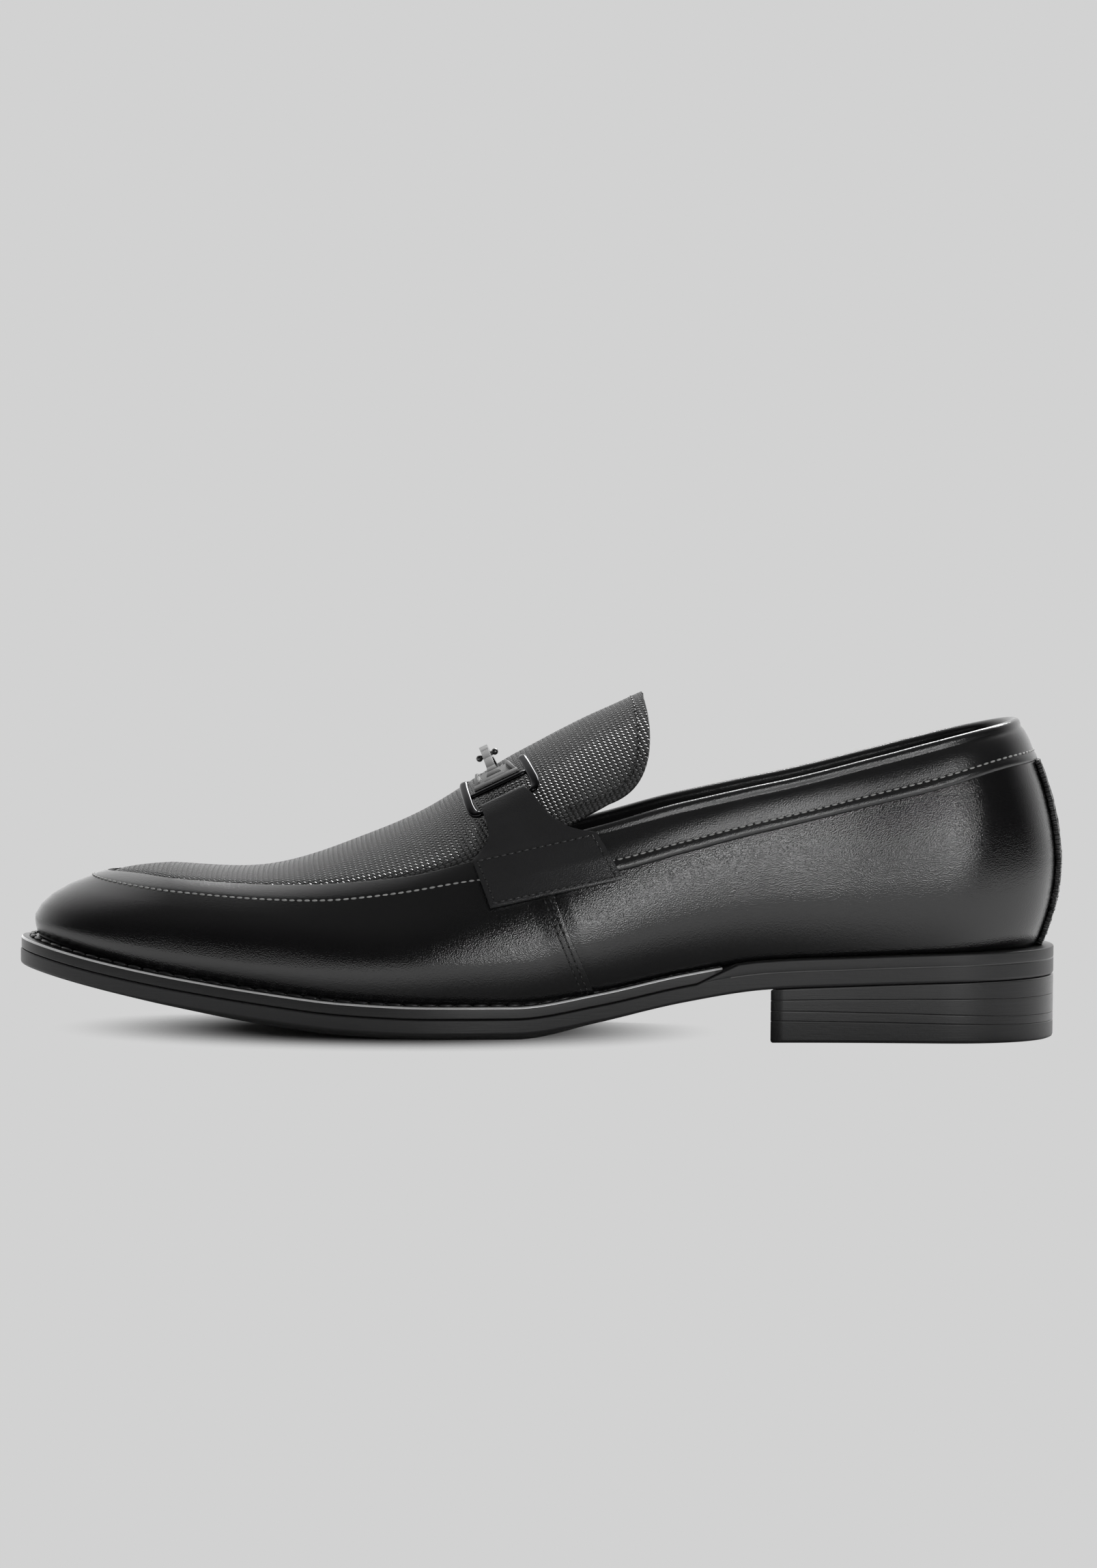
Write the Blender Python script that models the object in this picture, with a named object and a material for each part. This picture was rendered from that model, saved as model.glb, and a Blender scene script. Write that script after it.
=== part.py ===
"""Bit loafer, a man's left dress shoe: sole, heel, hollow upper, plug with tongue, straps and metal bit.

Metres, +Z up. The toe points to -X and the outer (lateral) side faces -Y. The shoe stands on z = 0,
with the middle of its bounding box over the origin.
"""

import math

import bmesh
import bpy
import numpy as np
from mathutils import Vector

# Driving sizes of the whole shoe
SOLE_LENGTH = 0.305
BALL_WIDTH = 0.106
TOE_SPRING = 0.0187
HEEL_HEIGHT = 0.0186
TREAD_CROWN = 0.003
UPPER_RISE = 0.082
BACK_BULGE = 0.0056

# Thicknesses and clearances
OUTSOLE_THICKNESS = 0.0045
WELT_THICKNESS = 0.0034
WELT_WIDTH = 0.0054
WELT_SEAT = 0.0075
SOLE_EDGE_ROUND = 0.0008
WALL = 0.0022
BAND_STEP = 0.0007
INSOLE_THICKNESS = 0.0025
PLUG_THICKNESS = 0.0018
PLUG_DROP = 0.0004
PLUG_CLEARANCE = 0.0014
GAP = 0.0003

# Toe and heel ends of the sole outline, as lengths of rounded zone and how square they are
TOE_ROUND = 0.052
HEEL_ROUND = 0.036
END_SQUARENESS = 2.3

# Where the crease line of the last begins and ends, measured from the toe tip and from the heel back
SPINE_FROM_TOE = 0.0445
SPINE_FROM_HEEL = 0.050

# Heel stack: how far the breast stands from the heel back, and how much it is hollowed
HEEL_LENGTH = 0.083
BREAST_HOLLOW = 0.003

# Where the welt runs out, measured from the heel back, and how long its ramp is
WELT_END = 0.094
WELT_RAMP = 0.012

# Tongue: where it leaves the throat and where it ends along the crease, from the toe tip
THROAT = 0.1525
TONGUE_FREE = 0.1615
TONGUE_TIP = 0.1826
TONGUE_SIDE = 0.0445
TONGUE_ROUNDNESS = 2.2

# Backstay on the heel seam
BACKSTAY_WIDTH = 0.020
BACKSTAY_THICKNESS = 0.0013

# Bit: it lies across the crease line at this distance from the toe tip, in a plane that leans back.
# Distances down the flank are measured along the last from the crease line.
BIT_FROM_TOE = 0.1390
BIT_SLOPE = math.radians(25.5)
ROD_DOWN = 0.0330
ROD_LIFT = 0.0030
ROD_RADIUS = 0.0007
FRAME_HALF_WIDTH = 0.0096
FRAME_TOP = 0.0150
FRAME_CROSSBAR = 0.0241
FRAME_BAR_WIDTH = 0.0023
FRAME_BAR_HEIGHT = 0.0018
FRAME_LIFT = 0.0026
KNOB_RADIUS = 0.0010
KNOB_SPREAD = 0.0030
KNOB_LIFT = 0.0033

# Saddle straps
STRAP_THICKNESS = 0.0012
STRAP_LOOP_WIDTH = 0.0140

# Sections of the last from toe to heel. Along is a share of SOLE_LENGTH. Axis, lateral and medial are
# shares of BALL_WIDTH, measured to the sole's edge. Overhang is a share of WELT_WIDTH, spring of
# TOE_SPRING, crown of TREAD_CROWN, rise of HEEL_HEIGHT and lean of BACK_BULGE. Crease, belly, seam and
# edge are heights above the feather line as shares of UPPER_RISE.
COLUMNS = ("along", "axis", "lateral", "medial", "overhang", "spring", "crown", "rise",
           "crease", "belly", "lean", "fullness", "seam", "edge")
SECTIONS = (
    (0.00, 0.045, 0.310, 0.330, 1.00, 1.000, 0.0, 0.000, 0.278, 0.060, 0.20, 1.75, 0.2150, 0.231),
    (0.08, 0.040, 0.355, 0.365, 0.98, 0.684, 0.3, 0.000, 0.334, 0.075, 0.30, 1.95, 0.257, 0.292),
    (0.16, 0.030, 0.405, 0.410, 0.95, 0.417, 0.6, 0.000, 0.372, 0.090, 0.40, 2.30, 0.287, 0.329),
    (0.24, 0.020, 0.455, 0.450, 0.90, 0.187, 0.9, 0.000, 0.413, 0.105, 0.45, 2.42, 0.313, 0.360),
    (0.32, 0.010, 0.505, 0.470, 0.85, 0.043, 1.0, 0.000, 0.534, 0.130, 0.50, 1.92, 0.351, 0.405),
    (0.40, 0.000, 0.515, 0.445, 0.80, 0.000, 1.0, 0.000, 0.678, 0.150, 0.55, 1.72, 0.404, 0.457),
    (0.48, 0.000, 0.485, 0.380, 0.65, 0.000, 1.0, 0.000, 0.866, 0.170, 0.65, 1.68, 0.443, 0.537),
    (0.56, 0.000, 0.430, 0.320, 0.45, 0.000, 0.5, 0.274, 0.976, 0.195, 0.80, 1.72, 0.417, 0.578),
    (0.64, 0.000, 0.375, 0.280, 0.40, 0.000, 0.1, 0.618, 1.049, 0.220, 0.85, 1.78, 0.427, 0.598),
    (0.72, 0.000, 0.338, 0.275, 0.45, 0.000, 0.0, 0.828, 1.121, 0.240, 0.80, 1.80, 0.460, 0.621),
    (0.80, 0.000, 0.325, 0.295, 0.55, 0.000, 0.0, 0.887, 1.168, 0.255, 0.70, 1.75, 0.520, 0.680),
    (0.88, 0.000, 0.325, 0.312, 0.65, 0.000, 0.0, 0.941, 1.174, 0.275, 0.70, 1.72, 0.583, 0.742),
    (0.96, 0.000, 0.322, 0.315, 0.90, 0.000, 0.0, 0.984, 1.168, 0.295, 0.90, 1.75, 0.648, 0.788),
    (1.00, 0.000, 0.320, 0.315, 0.96, 0.000, 0.0, 1.000, 1.168, 0.300, 1.00, 1.74, 0.662, 0.806),
)

# Heel lifts from the floor up: where each one ends, as a share of the heel's height at breast and back
LIFTS = (
    ("top_lift", 0.41, 0.27),
    ("heel_lift_1", 0.60, 0.40),
    ("heel_lift_2", 0.80, 0.70),
    ("heel_lift_3", 1.00, 1.00),
)

# Saddle strap below its loop, as seen from the side: where the front and rear edges run, as distance
# behind the bit frame's rod and height above it, how far the strap stands off the last, and how far
# the row follows the bit where the medial flank is steeper
STRAP_COLUMNS = ("front", "front_height", "rear", "rear_height", "lift", "follow")
STRAP = (
    (-0.0053, -0.0057, 0.0087, 0.0013, 0.0036, 1.0),
    (-0.0048, -0.0079, 0.0111, -0.0013, 0.0023, 0.8),
    (-0.0053, -0.0105, 0.0151, -0.0041, 0.0015, 0.5),
    (-0.0073, -0.0130, 0.0201, -0.0059, 0.0010, 0.2),
    (-0.0096, -0.0154, 0.0258, -0.0067, 0.0010, 0.0),
    (-0.0070, -0.0216, 0.0297, -0.0130, 0.0010, 0.0),
    (-0.0045, -0.0278, 0.0332, -0.0193, 0.0010, 0.0),
)

# Centre link of the bit: distance down the flank, half width, underside and top over the last
LINK_COLUMNS = ("down", "half_width", "underside", "top")
LINK = (
    (0.0230, 0.0072, 0.0012, 0.0035),
    (0.0158, 0.0052, 0.0018, 0.0042),
    (0.0158, 0.0018, 0.0020, 0.0044),
    (0.0104, 0.0012, 0.0026, 0.0050),
    (0.0050, 0.0014, 0.0030, 0.0058),
    (0.0022, 0.0019, 0.0022, 0.0062),
)

LATERAL = -1
MEDIAL = 1


def natural_spline(knots, values):
    """A function through the values with smooth slope and curvature."""
    knots, values = np.asarray(knots, float), np.asarray(values, float)
    steps = np.diff(knots)
    size = len(knots)
    system, right = np.eye(size), np.zeros(size)
    for i in range(1, size - 1):
        system[i, i - 1:i + 2] = steps[i - 1], 2 * (steps[i - 1] + steps[i]), steps[i]
        right[i] = 6 * ((values[i + 1] - values[i]) / steps[i] - (values[i] - values[i - 1]) / steps[i - 1])
    bend = np.linalg.solve(system, right)

    def at(x):
        i = int(np.clip(np.searchsorted(knots, x) - 1, 0, size - 2))
        a, b, step = knots[i + 1] - x, x - knots[i], steps[i]
        return float((bend[i] * a ** 3 + bend[i + 1] * b ** 3) / (6 * step)
                     + (values[i] / step - bend[i] * step / 6) * a
                     + (values[i + 1] / step - bend[i + 1] * step / 6) * b)

    return at


def level_spline(knots, values):
    """A function through the values that never passes them, so that a flat stretch stays flat."""
    knots, values = np.asarray(knots, float), np.asarray(values, float)
    slopes = np.diff(values) / np.diff(knots)
    inner = [2 * a * b / (a + b) if a * b > 0 else 0.0 for a, b in zip(slopes, slopes[1:])]
    tangents = np.array([slopes[0], *inner, slopes[-1]])

    def at(x):
        i = int(np.clip(np.searchsorted(knots, x) - 1, 0, len(knots) - 2))
        step = knots[i + 1] - knots[i]
        t = min(max((x - knots[i]) / step, 0.0), 1.0)
        return float(values[i] * (1 + 2 * t) * (1 - t) ** 2 + values[i + 1] * t * t * (3 - 2 * t)
                     + step * (tangents[i] * t * (1 - t) ** 2 - tangents[i + 1] * t * t * (1 - t)))

    return at


LEVEL_COLUMNS = ("spring", "crown", "rise")
SHARE = {
    name: (level_spline if name in LEVEL_COLUMNS else natural_spline)(
        [row[0] for row in SECTIONS], [row[i] for row in SECTIONS])
    for i, name in enumerate(COLUMNS)
}


def share(name, x):
    """A column of the section table at a distance x from the toe tip."""
    return SHARE[name](min(max(x / SOLE_LENGTH, 0.0), 1.0))


def tread_edge(x):
    """Height of the outsole's underside at its edge."""
    return (TOE_SPRING * share("spring", x) + TREAD_CROWN * share("crown", x)
            + HEEL_HEIGHT * share("rise", x))


def tread_middle(x):
    """Height of the outsole's underside down its middle."""
    return tread_edge(x) - TREAD_CROWN * share("crown", x)


def feather(x):
    """Height of the line where the upper meets the welt."""
    return tread_edge(x) + OUTSOLE_THICKNESS + WELT_THICKNESS + 2 * GAP


def axis(x):
    return BALL_WIDTH * share("axis", x)


def crease_height(x):
    """Height of the last's crease line, which goes on over the ankle as a real last's cone does."""
    return feather(x) + UPPER_RISE * share("crease", x)


# Stations go from 0 at the heel back to 3 at the toe tip: 0 to 1 round the heel, 1 to 2 along the side,
# 2 to 3 round the toe.
def edge_point(side, station):
    """The sole's edge in plan, as distance from the toe tip and across, y."""
    if station < 1:
        angle = station * math.pi / 2
        x = SOLE_LENGTH - HEEL_ROUND * (1 - math.cos(angle) ** (2 / END_SQUARENESS))
        closing = math.sin(angle) ** (2 / END_SQUARENESS)
    elif station <= 2:
        x = SOLE_LENGTH - HEEL_ROUND + (station - 1) * (TOE_ROUND + HEEL_ROUND - SOLE_LENGTH)
        closing = 1.0
    else:
        angle = max(3 - station, 0.0) * math.pi / 2
        x = TOE_ROUND * (1 - math.cos(angle) ** (2 / END_SQUARENESS))
        closing = math.sin(angle) ** (2 / END_SQUARENESS)
    width = BALL_WIDTH * share("lateral" if side == LATERAL else "medial", x)
    return np.array([x, axis(x) + side * width * closing])


def station_at(x):
    """The station along the straight side at a distance x from the toe tip."""
    return 1 + (SOLE_LENGTH - HEEL_ROUND - x) / (SOLE_LENGTH - HEEL_ROUND - TOE_ROUND)


def inset_point(side, station, inset):
    """A point of the sole's edge moved in, square to the edge."""
    step = 0.002
    if station <= step:
        outward = np.array([1.0, 0.0])
    elif station >= 3 - step:
        outward = np.array([-1.0, 0.0])
    else:
        along = edge_point(side, station + step) - edge_point(side, station - step)
        outward = side * np.array([along[1], -along[0]])
        outward /= np.linalg.norm(outward)
    return edge_point(side, station) - inset * outward


def spine_point(x):
    """The point of the crease line, in plan, that a rib from x runs to."""
    reach = min(max(x, SPINE_FROM_TOE), SOLE_LENGTH - SPINE_FROM_HEEL)
    return np.array([reach, axis(reach)])


class Rib:
    """One line of the last, from the feather line up to the crease line."""

    def __init__(self, side, station):
        nominal = edge_point(side, station)[0]
        self.x = nominal
        self.base = inset_point(side, station, WELT_WIDTH * share("overhang", nominal))
        self.top = spine_point(nominal)
        inward = self.top - self.base
        self.length = float(np.linalg.norm(inward))
        self.inward = inward / self.length
        self.foot = feather(nominal)
        self.belly = self.foot + UPPER_RISE * share("belly", nominal)
        self.lean = BACK_BULGE * share("lean", nominal)
        self.height = crease_height(self.top[0]) - self.belly
        self.fullness = share("fullness", nominal)

    def at(self, level):
        """Level 0 is the feather line, 1 the widest line and 2 the crease line."""
        if level <= 1:
            z = self.foot + level * (self.belly - self.foot)
            out = self.lean * (1 - (1 - level) ** 2)
        else:
            angle = (level - 1) * math.pi / 2
            z = self.belly + self.height * math.sin(angle) ** (2 / self.fullness)
            out = self.lean - (self.length + self.lean) * (1 - math.cos(angle) ** (2 / self.fullness))
        plan = self.base - out * self.inward
        return np.array([plan[0], plan[1], z])

    def level_of(self, z):
        """The level at which the rib is z above the floor."""
        if z <= self.belly:
            return (z - self.foot) / (self.belly - self.foot)
        rise = min((z - self.belly) / self.height, 1.0)
        return 1 + math.asin(rise ** (self.fullness / 2)) * 2 / math.pi

    def seam(self):
        return self.level_of(self.foot + UPPER_RISE * share("seam", self.x))

    def edge(self):
        return self.level_of(self.foot + UPPER_RISE * share("edge", self.x))

    def past_edge(self, distance):
        """The level that lies the distance beyond the upper's edge, up the rib."""
        edge, step = self.edge(), 0.01
        pace = np.linalg.norm(self.at(edge + step) - self.at(edge)) / step
        return edge + distance / pace


def normals(grid, closed):
    """Outward unit normals of a grid of points, [row][column][xyz], rows going up and columns round."""
    grid = np.asarray(grid)
    up = np.gradient(grid, axis=0)
    if closed:
        along = np.roll(grid, -1, axis=1) - np.roll(grid, 1, axis=1)
    else:
        along = np.gradient(grid, axis=1)
    out = np.cross(up, along)
    return out / np.maximum(np.linalg.norm(out, axis=2, keepdims=True), 1e-12)


def material(name, colour, roughness, metallic=0.0):
    made = bpy.data.materials.new(name)
    made.use_nodes = True
    shader = made.node_tree.nodes["Principled BSDF"]
    shader.inputs["Base Color"].default_value = (*colour, 1.0)
    shader.inputs["Roughness"].default_value = roughness
    shader.inputs["Metallic"].default_value = metallic
    return made


def finish(name, bm, finish_material):
    """Makes an object of the mesh, with its faces pointing out and round parts shaded smooth."""
    bmesh.ops.remove_doubles(bm, verts=bm.verts, dist=1e-6)
    bmesh.ops.recalc_face_normals(bm, faces=bm.faces)
    mesh = bpy.data.meshes.new(name)
    bm.to_mesh(mesh)
    bm.free()
    mesh.materials.append(finish_material)
    mesh.shade_smooth()
    mesh.set_sharp_from_angle(angle=math.radians(40))
    made = bpy.data.objects.new(name, mesh)
    bpy.context.scene.collection.objects.link(made)
    return made


def loft(name, rings, finish_material, closed=True):
    """A solid skinned over rings of points. Closed rings get strips across their first and last ring;
    open rings form a tube that is closed round, with a cap at each end."""
    bm = bmesh.new()
    rows = [[bm.verts.new(point) for point in ring] for ring in rings]
    count = len(rows[0])
    if closed:
        for low, high in zip(rows, rows[1:]):
            for i in range(count):
                j = (i + 1) % count
                bm.faces.new((low[i], low[j], high[j], high[i]))
        for row in (rows[0], rows[-1]):
            for i in range(count // 2):
                corners = [row[i], row[i + 1], row[(count - i - 1) % count], row[-i % count]]
                bm.faces.new(list(dict.fromkeys(corners)))
    else:
        for low, high in zip(rows, rows[1:] + rows[:1]):
            for i in range(count - 1):
                bm.faces.new((low[i], low[i + 1], high[i + 1], high[i]))
        bm.faces.new([row[0] for row in rows])
        bm.faces.new([row[-1] for row in rows])
    return finish(name, bm, finish_material)


def ring_stations(heel_steps, side_steps, toe_steps, extra=()):
    """Sides and stations round the whole shoe: heel back, lateral side, toe tip, medial side."""
    one_side = sorted({*np.linspace(0, 1, heel_steps + 1), *np.linspace(1, 2, side_steps + 1),
                       *np.linspace(2, 3, toe_steps + 1), *extra})
    lateral = [(LATERAL, s) for s in one_side]
    medial = [(MEDIAL, s) for s in one_side[-2:0:-1]]
    return lateral + medial


def plan_ring(stations, inset, height):
    """A ring inside the sole's edge. Inset and height are functions of the distance from the toe tip."""
    ring = []
    for side, station in stations:
        x = edge_point(side, station)[0]
        point = inset_point(side, station, inset(x))
        ring.append((point[0], point[1], height(x)))
    return ring


def toward_axis(ring, keep, height):
    """The ring drawn in towards the crease line, keeping that share of its distance."""
    drawn = []
    for x, y, _ in ring:
        centre = spine_point(x)
        point = centre + keep * (np.array([x, y]) - centre)
        drawn.append((point[0], point[1], height(point[0])))
    return drawn


def outsole_shoulder(x):
    """Height of the outsole's top at its edge: under the welt, then full height round the heel."""
    ramp_start = SOLE_LENGTH - WELT_END - WELT_RAMP
    climb = min(max((x - ramp_start) / WELT_RAMP, 0.0), 1.0)
    low = tread_edge(x) + OUTSOLE_THICKNESS
    return low + climb * (feather(x) - GAP - low)


def make_outsole(stations, rubber):
    seat = lambda x: WELT_WIDTH * share("overhang", x) + WELT_SEAT
    plateau = lambda x: feather(x) - GAP
    bottom = plan_ring(stations, lambda x: SOLE_EDGE_ROUND, tread_edge)
    rings = [
        toward_axis(bottom, 0.55, tread_middle),
        toward_axis(bottom, 0.80, lambda x: tread_middle(x) + 0.3 * TREAD_CROWN * share("crown", x)),
        bottom,
        plan_ring(stations, lambda x: 0.0, lambda x: tread_edge(x) + SOLE_EDGE_ROUND),
        plan_ring(stations, lambda x: 0.0, lambda x: outsole_shoulder(x) - SOLE_EDGE_ROUND / 2),
        plan_ring(stations, lambda x: SOLE_EDGE_ROUND / 2, outsole_shoulder),
        plan_ring(stations, seat, outsole_shoulder),
        plan_ring(stations, lambda x: seat(x) + GAP, plateau),
    ]
    return loft("outsole", rings, rubber)


def make_welt(stations, leather):
    """The strip between outsole and upper, from one side of the waist round the toe to the other."""
    end = station_at(SOLE_LENGTH - WELT_END - WELT_RAMP * 0.3)
    kept = [(side, s) for side, s in stations if s >= end]
    low = lambda x: outsole_shoulder(x) + GAP
    high = lambda x: feather(x) - GAP
    edge_round = 0.0006
    seat = lambda x: WELT_WIDTH * share("overhang", x) + WELT_SEAT - GAP
    rings = [
        plan_ring(kept, lambda x: edge_round, low),
        plan_ring(kept, lambda x: edge_round / 2, lambda x: high(x) - edge_round),
        plan_ring(kept, lambda x: edge_round * 1.5, high),
        plan_ring(kept, seat, high),
        plan_ring(kept, seat, low),
    ]
    return loft("welt", rings, leather, closed=False)


def make_heel(stations, leather, rubber):
    """The stack of lifts, each one cut hollow at the breast."""
    breast = SOLE_LENGTH - HEEL_LENGTH
    limit = station_at(breast)
    lateral = [(side, s) for side, s in stations if side == LATERAL and s <= limit]
    medial = [(side, s) for side, s in stations if side == MEDIAL and s <= limit]
    outline = [edge_point(side, s) for side, s in medial + lateral]
    first, last = outline[-1], outline[0]
    hollow = [first + t * (last - first) + np.array([4 * t * (1 - t) * BREAST_HOLLOW, 0])
              for t in np.linspace(0, 1, 9)[1:-1]]
    outline += hollow
    made = []
    below = (0.0, 0.0)
    for name, at_breast, at_back in LIFTS:
        def level(x, shares):
            t = (x - breast) / HEEL_LENGTH
            return (tread_edge(x) - GAP) * (shares[0] + t * (shares[1] - shares[0]))

        above = (at_breast, at_back)
        first_lift = below == (0.0, 0.0)
        chamfer = 0.0012 if first_lift else 0.0002
        inside = [point + chamfer * (np.array([SOLE_LENGTH - HEEL_LENGTH / 2, 0.0]) - point)
                  / np.linalg.norm(np.array([SOLE_LENGTH - HEEL_LENGTH / 2, 0.0]) - point)
                  for point in outline]
        gap = 0.0 if first_lift else GAP
        rings = [
            [(p[0], p[1], level(p[0], below) + gap) for p in inside],
            [(p[0], p[1], level(p[0], below) + gap + chamfer) for p in outline],
            [(p[0], p[1], level(p[0], above)) for p in outline],
        ]
        made.append(stack_lift(name, rings, rubber if first_lift else leather))
        below = above
    return made


def stack_lift(name, rings, finish_material):
    bm = bmesh.new()
    rows = [[bm.verts.new(point) for point in ring] for ring in rings]
    count = len(rows[0])
    for low, high in zip(rows, rows[1:]):
        for i in range(count):
            j = (i + 1) % count
            bm.faces.new((low[i], low[j], high[j], high[i]))
    for row in (rows[0], rows[-1]):
        bmesh.ops.triangulate(bm, faces=[bm.faces.new(row)])
    return finish(name, bm, finish_material)


def upper_levels(rib):
    """Levels of the upper's rows, with its step at the seam, and whether each row is on the raised band."""
    seam, edge = rib.seam(), rib.edge()
    lower = [0.0, 0.25, 0.55, 1.0]
    flank = [1 + t * (seam - 0.004 - 1) for t in (0.3, 0.6, 0.85, 1.0)]
    band = [seam + 0.004 + t * (edge - seam - 0.004) for t in (0.0, 0.33, 0.67, 1.0)]
    return [(level, False) for level in lower + flank] + [(level, True) for level in band]


def make_upper(stations, leather):
    """The hollow wall from the feather line up to the apron's edge in front and the topline behind."""
    ribs = [Rib(side, station) for side, station in stations]
    rows = [upper_levels(rib) for rib in ribs]
    base = np.array([[rib.at(rows[i][j][0]) for i, rib in enumerate(ribs)] for j in range(len(rows[0]))])
    out = normals(base, closed=True)
    raised = np.array([[BAND_STEP * row[j][1] for row in rows] for j in range(len(rows[0]))])
    outer = base + raised[:, :, None] * out
    inner = base - WALL * out
    inner[0, :, 2] = outer[0, :, 2]
    rim = (outer[-1] + inner[-1]) / 2 + np.cross(out[-1], ring_tangent(base[-1])) * WALL * 0.35
    rings = [*outer, rim, *inner[::-1]]
    bm = bmesh.new()
    made = [[bm.verts.new(point) for point in ring] for ring in rings]
    count = len(made[0])
    for low, high in zip(made, made[1:] + made[:1]):
        for i in range(count):
            j = (i + 1) % count
            bm.faces.new((low[i], low[j], high[j], high[i]))
    return finish("upper", bm, leather)


def ring_tangent(ring):
    along = np.roll(ring, 1, axis=0) - np.roll(ring, -1, axis=0)
    return along / np.linalg.norm(along, axis=1, keepdims=True)


def make_insole(stations, lining):
    """The footbed inside the wall. Its middle follows the outsole's top, ring for ring."""
    clear = lambda x: WELT_WIDTH * share("overhang", x) + WALL + 2 * GAP
    middle = lambda x: WELT_WIDTH * share("overhang", x) + WELT_SEAT + GAP
    top = lambda x: feather(x) + INSOLE_THICKNESS
    rings = [
        plan_ring(stations, middle, feather),
        plan_ring(stations, clear, feather),
        plan_ring(stations, clear, top),
        plan_ring(stations, middle, top),
    ]
    return loft("insole", rings, lining)


def crease_slope(x):
    """Angle of the crease line over the floor."""
    step = 0.004
    return math.atan2(crease_height(x + step) - crease_height(x - step), 2 * step)


def flank_point(side, x, level, lean):
    """A point of the last on the section that leans back from x on the crease line by the given slope."""
    top = crease_height(x)
    z = top
    for _ in range(6):
        reach = x + (top - z) * lean
        point = Rib(side, station_at(reach)).at(level)
        z = point[2]
    return np.array([reach, point[1], point[2]])


def flank_line(side, x, lean, lowest):
    """The leaning section from the crease line down: levels, distances along it and points."""
    levels = np.linspace(2.0, lowest, 48)
    points = np.array([flank_point(side, x, level, lean) for level in levels])
    paces = np.linalg.norm(np.diff(points, axis=0), axis=1)
    return levels, np.concatenate([[0.0], np.cumsum(paces)]), points


def tongue_side(x):
    """How far down the flank the tongue's edge lies, along the last from the crease line."""
    t = min(max((x - TONGUE_FREE) / (TONGUE_TIP - TONGUE_FREE), 0.0), 1.0)
    return TONGUE_SIDE * (1 - t ** TONGUE_ROUNDNESS) ** (1 / TONGUE_ROUNDNESS)


def plug_column(side, station, levels):
    """Points of the plug from its edge, just inside the upper's edge, to the crease line."""
    rib = Rib(side, station)
    edge = rib.past_edge(PLUG_CLEARANCE)
    return [rib.at(edge + t * (2 - edge)) for t in levels]


def tongue_column(side, x, levels):
    """Points of the tongue from its free edge to the crease line, leaning square to the crease."""
    share_free = min(max((x - THROAT) / (TONGUE_FREE - THROAT), 0.0), 1.0)
    lean = share_free * math.tan(crease_slope(THROAT))
    rib = Rib(side, station_at(x))
    low = rib.past_edge(PLUG_CLEARANCE)
    # The free edge lies at one height on both flanks, set by the lateral one.
    _, down, points = flank_line(LATERAL, x, lean, 1.2)
    height = np.interp(tongue_side(x), down, points[:, 2])
    own_levels, _, own = flank_line(side, x, lean, 1.2)
    free = float(np.interp(-height, -own[:, 2], own_levels))
    edge = low + share_free * (free - low)
    return [flank_point(side, x, edge + t * (2 - edge), lean) for t in levels]


def make_plug(stations, weave):
    """The embossed plug and the tongue that it runs out into, as one curved sheet."""
    levels = [0.0, 0.2, 0.4, 0.6, 0.8, 1.0]
    start = station_at(THROAT)
    front = sorted({s for side, s in stations if side == LATERAL and s > start + 0.01})
    closing = [TONGUE_FREE + (TONGUE_TIP - TONGUE_FREE) * math.sin(a) for a in np.linspace(0, 1.52, 7)]
    free = [THROAT, (THROAT + TONGUE_FREE) / 2, *closing]
    columns = [tongue_column(LATERAL, x, levels) for x in reversed(free)]
    columns += [plug_column(LATERAL, s, levels) for s in front]
    columns += [plug_column(MEDIAL, s, levels) for s in front[-2::-1]]
    columns += [tongue_column(MEDIAL, x, levels) for x in free]
    grid = np.array(columns).transpose(1, 0, 2)
    out = normals(grid, closed=False)
    last = len(columns) - 1
    # Both halves meet on the crease line, so they share its points and its normal there.
    grid[-1] = (grid[-1] + grid[-1, ::-1]) / 2
    shared = out[-2] + out[-2, ::-1]
    pole = np.isclose(grid[-1], grid[-1, last // 2], atol=1e-6).all(axis=1)
    shared[pole] = shared[pole].sum(axis=0)
    out[-1] = shared / np.linalg.norm(shared, axis=1, keepdims=True)
    outer = grid - PLUG_DROP * out
    inner = outer - PLUG_THICKNESS * out
    bm = bmesh.new()
    skins = [[[bm.verts.new(point) for point in row] for row in skin] for skin in (outer, inner)]
    for skin in skins:
        for low, high in zip(skin, skin[1:]):
            for i in range(last):
                bm.faces.new((low[i], low[i + 1], high[i + 1], high[i]))
    a, b = skins[0][0], skins[1][0]
    for i in range(last):
        bm.faces.new((a[i], a[i + 1], b[i + 1], b[i]))
    for i in (0, last):
        for j in range(len(levels) - 1):
            bm.faces.new((skins[0][j][i], skins[0][j + 1][i], skins[1][j + 1][i], skins[1][j][i]))
    bmesh.ops.remove_doubles(bm, verts=bm.verts, dist=1e-5)
    return finish("plug_and_tongue", bm, weave)


def side_point(side, x, z):
    """The point of the last and its outward normal at a place seen from the side."""
    def find(at_x, at_z):
        rib = Rib(side, station_at(at_x))
        return rib.at(min(rib.level_of(at_z), 1.999))

    step = 0.0015
    point = find(x, z)
    out = np.cross(find(x + step, z) - find(x - step, z), find(x, z + step) - find(x, z - step))
    out /= np.linalg.norm(out)
    return point, out if out[1] * side > 0 else -out


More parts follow.
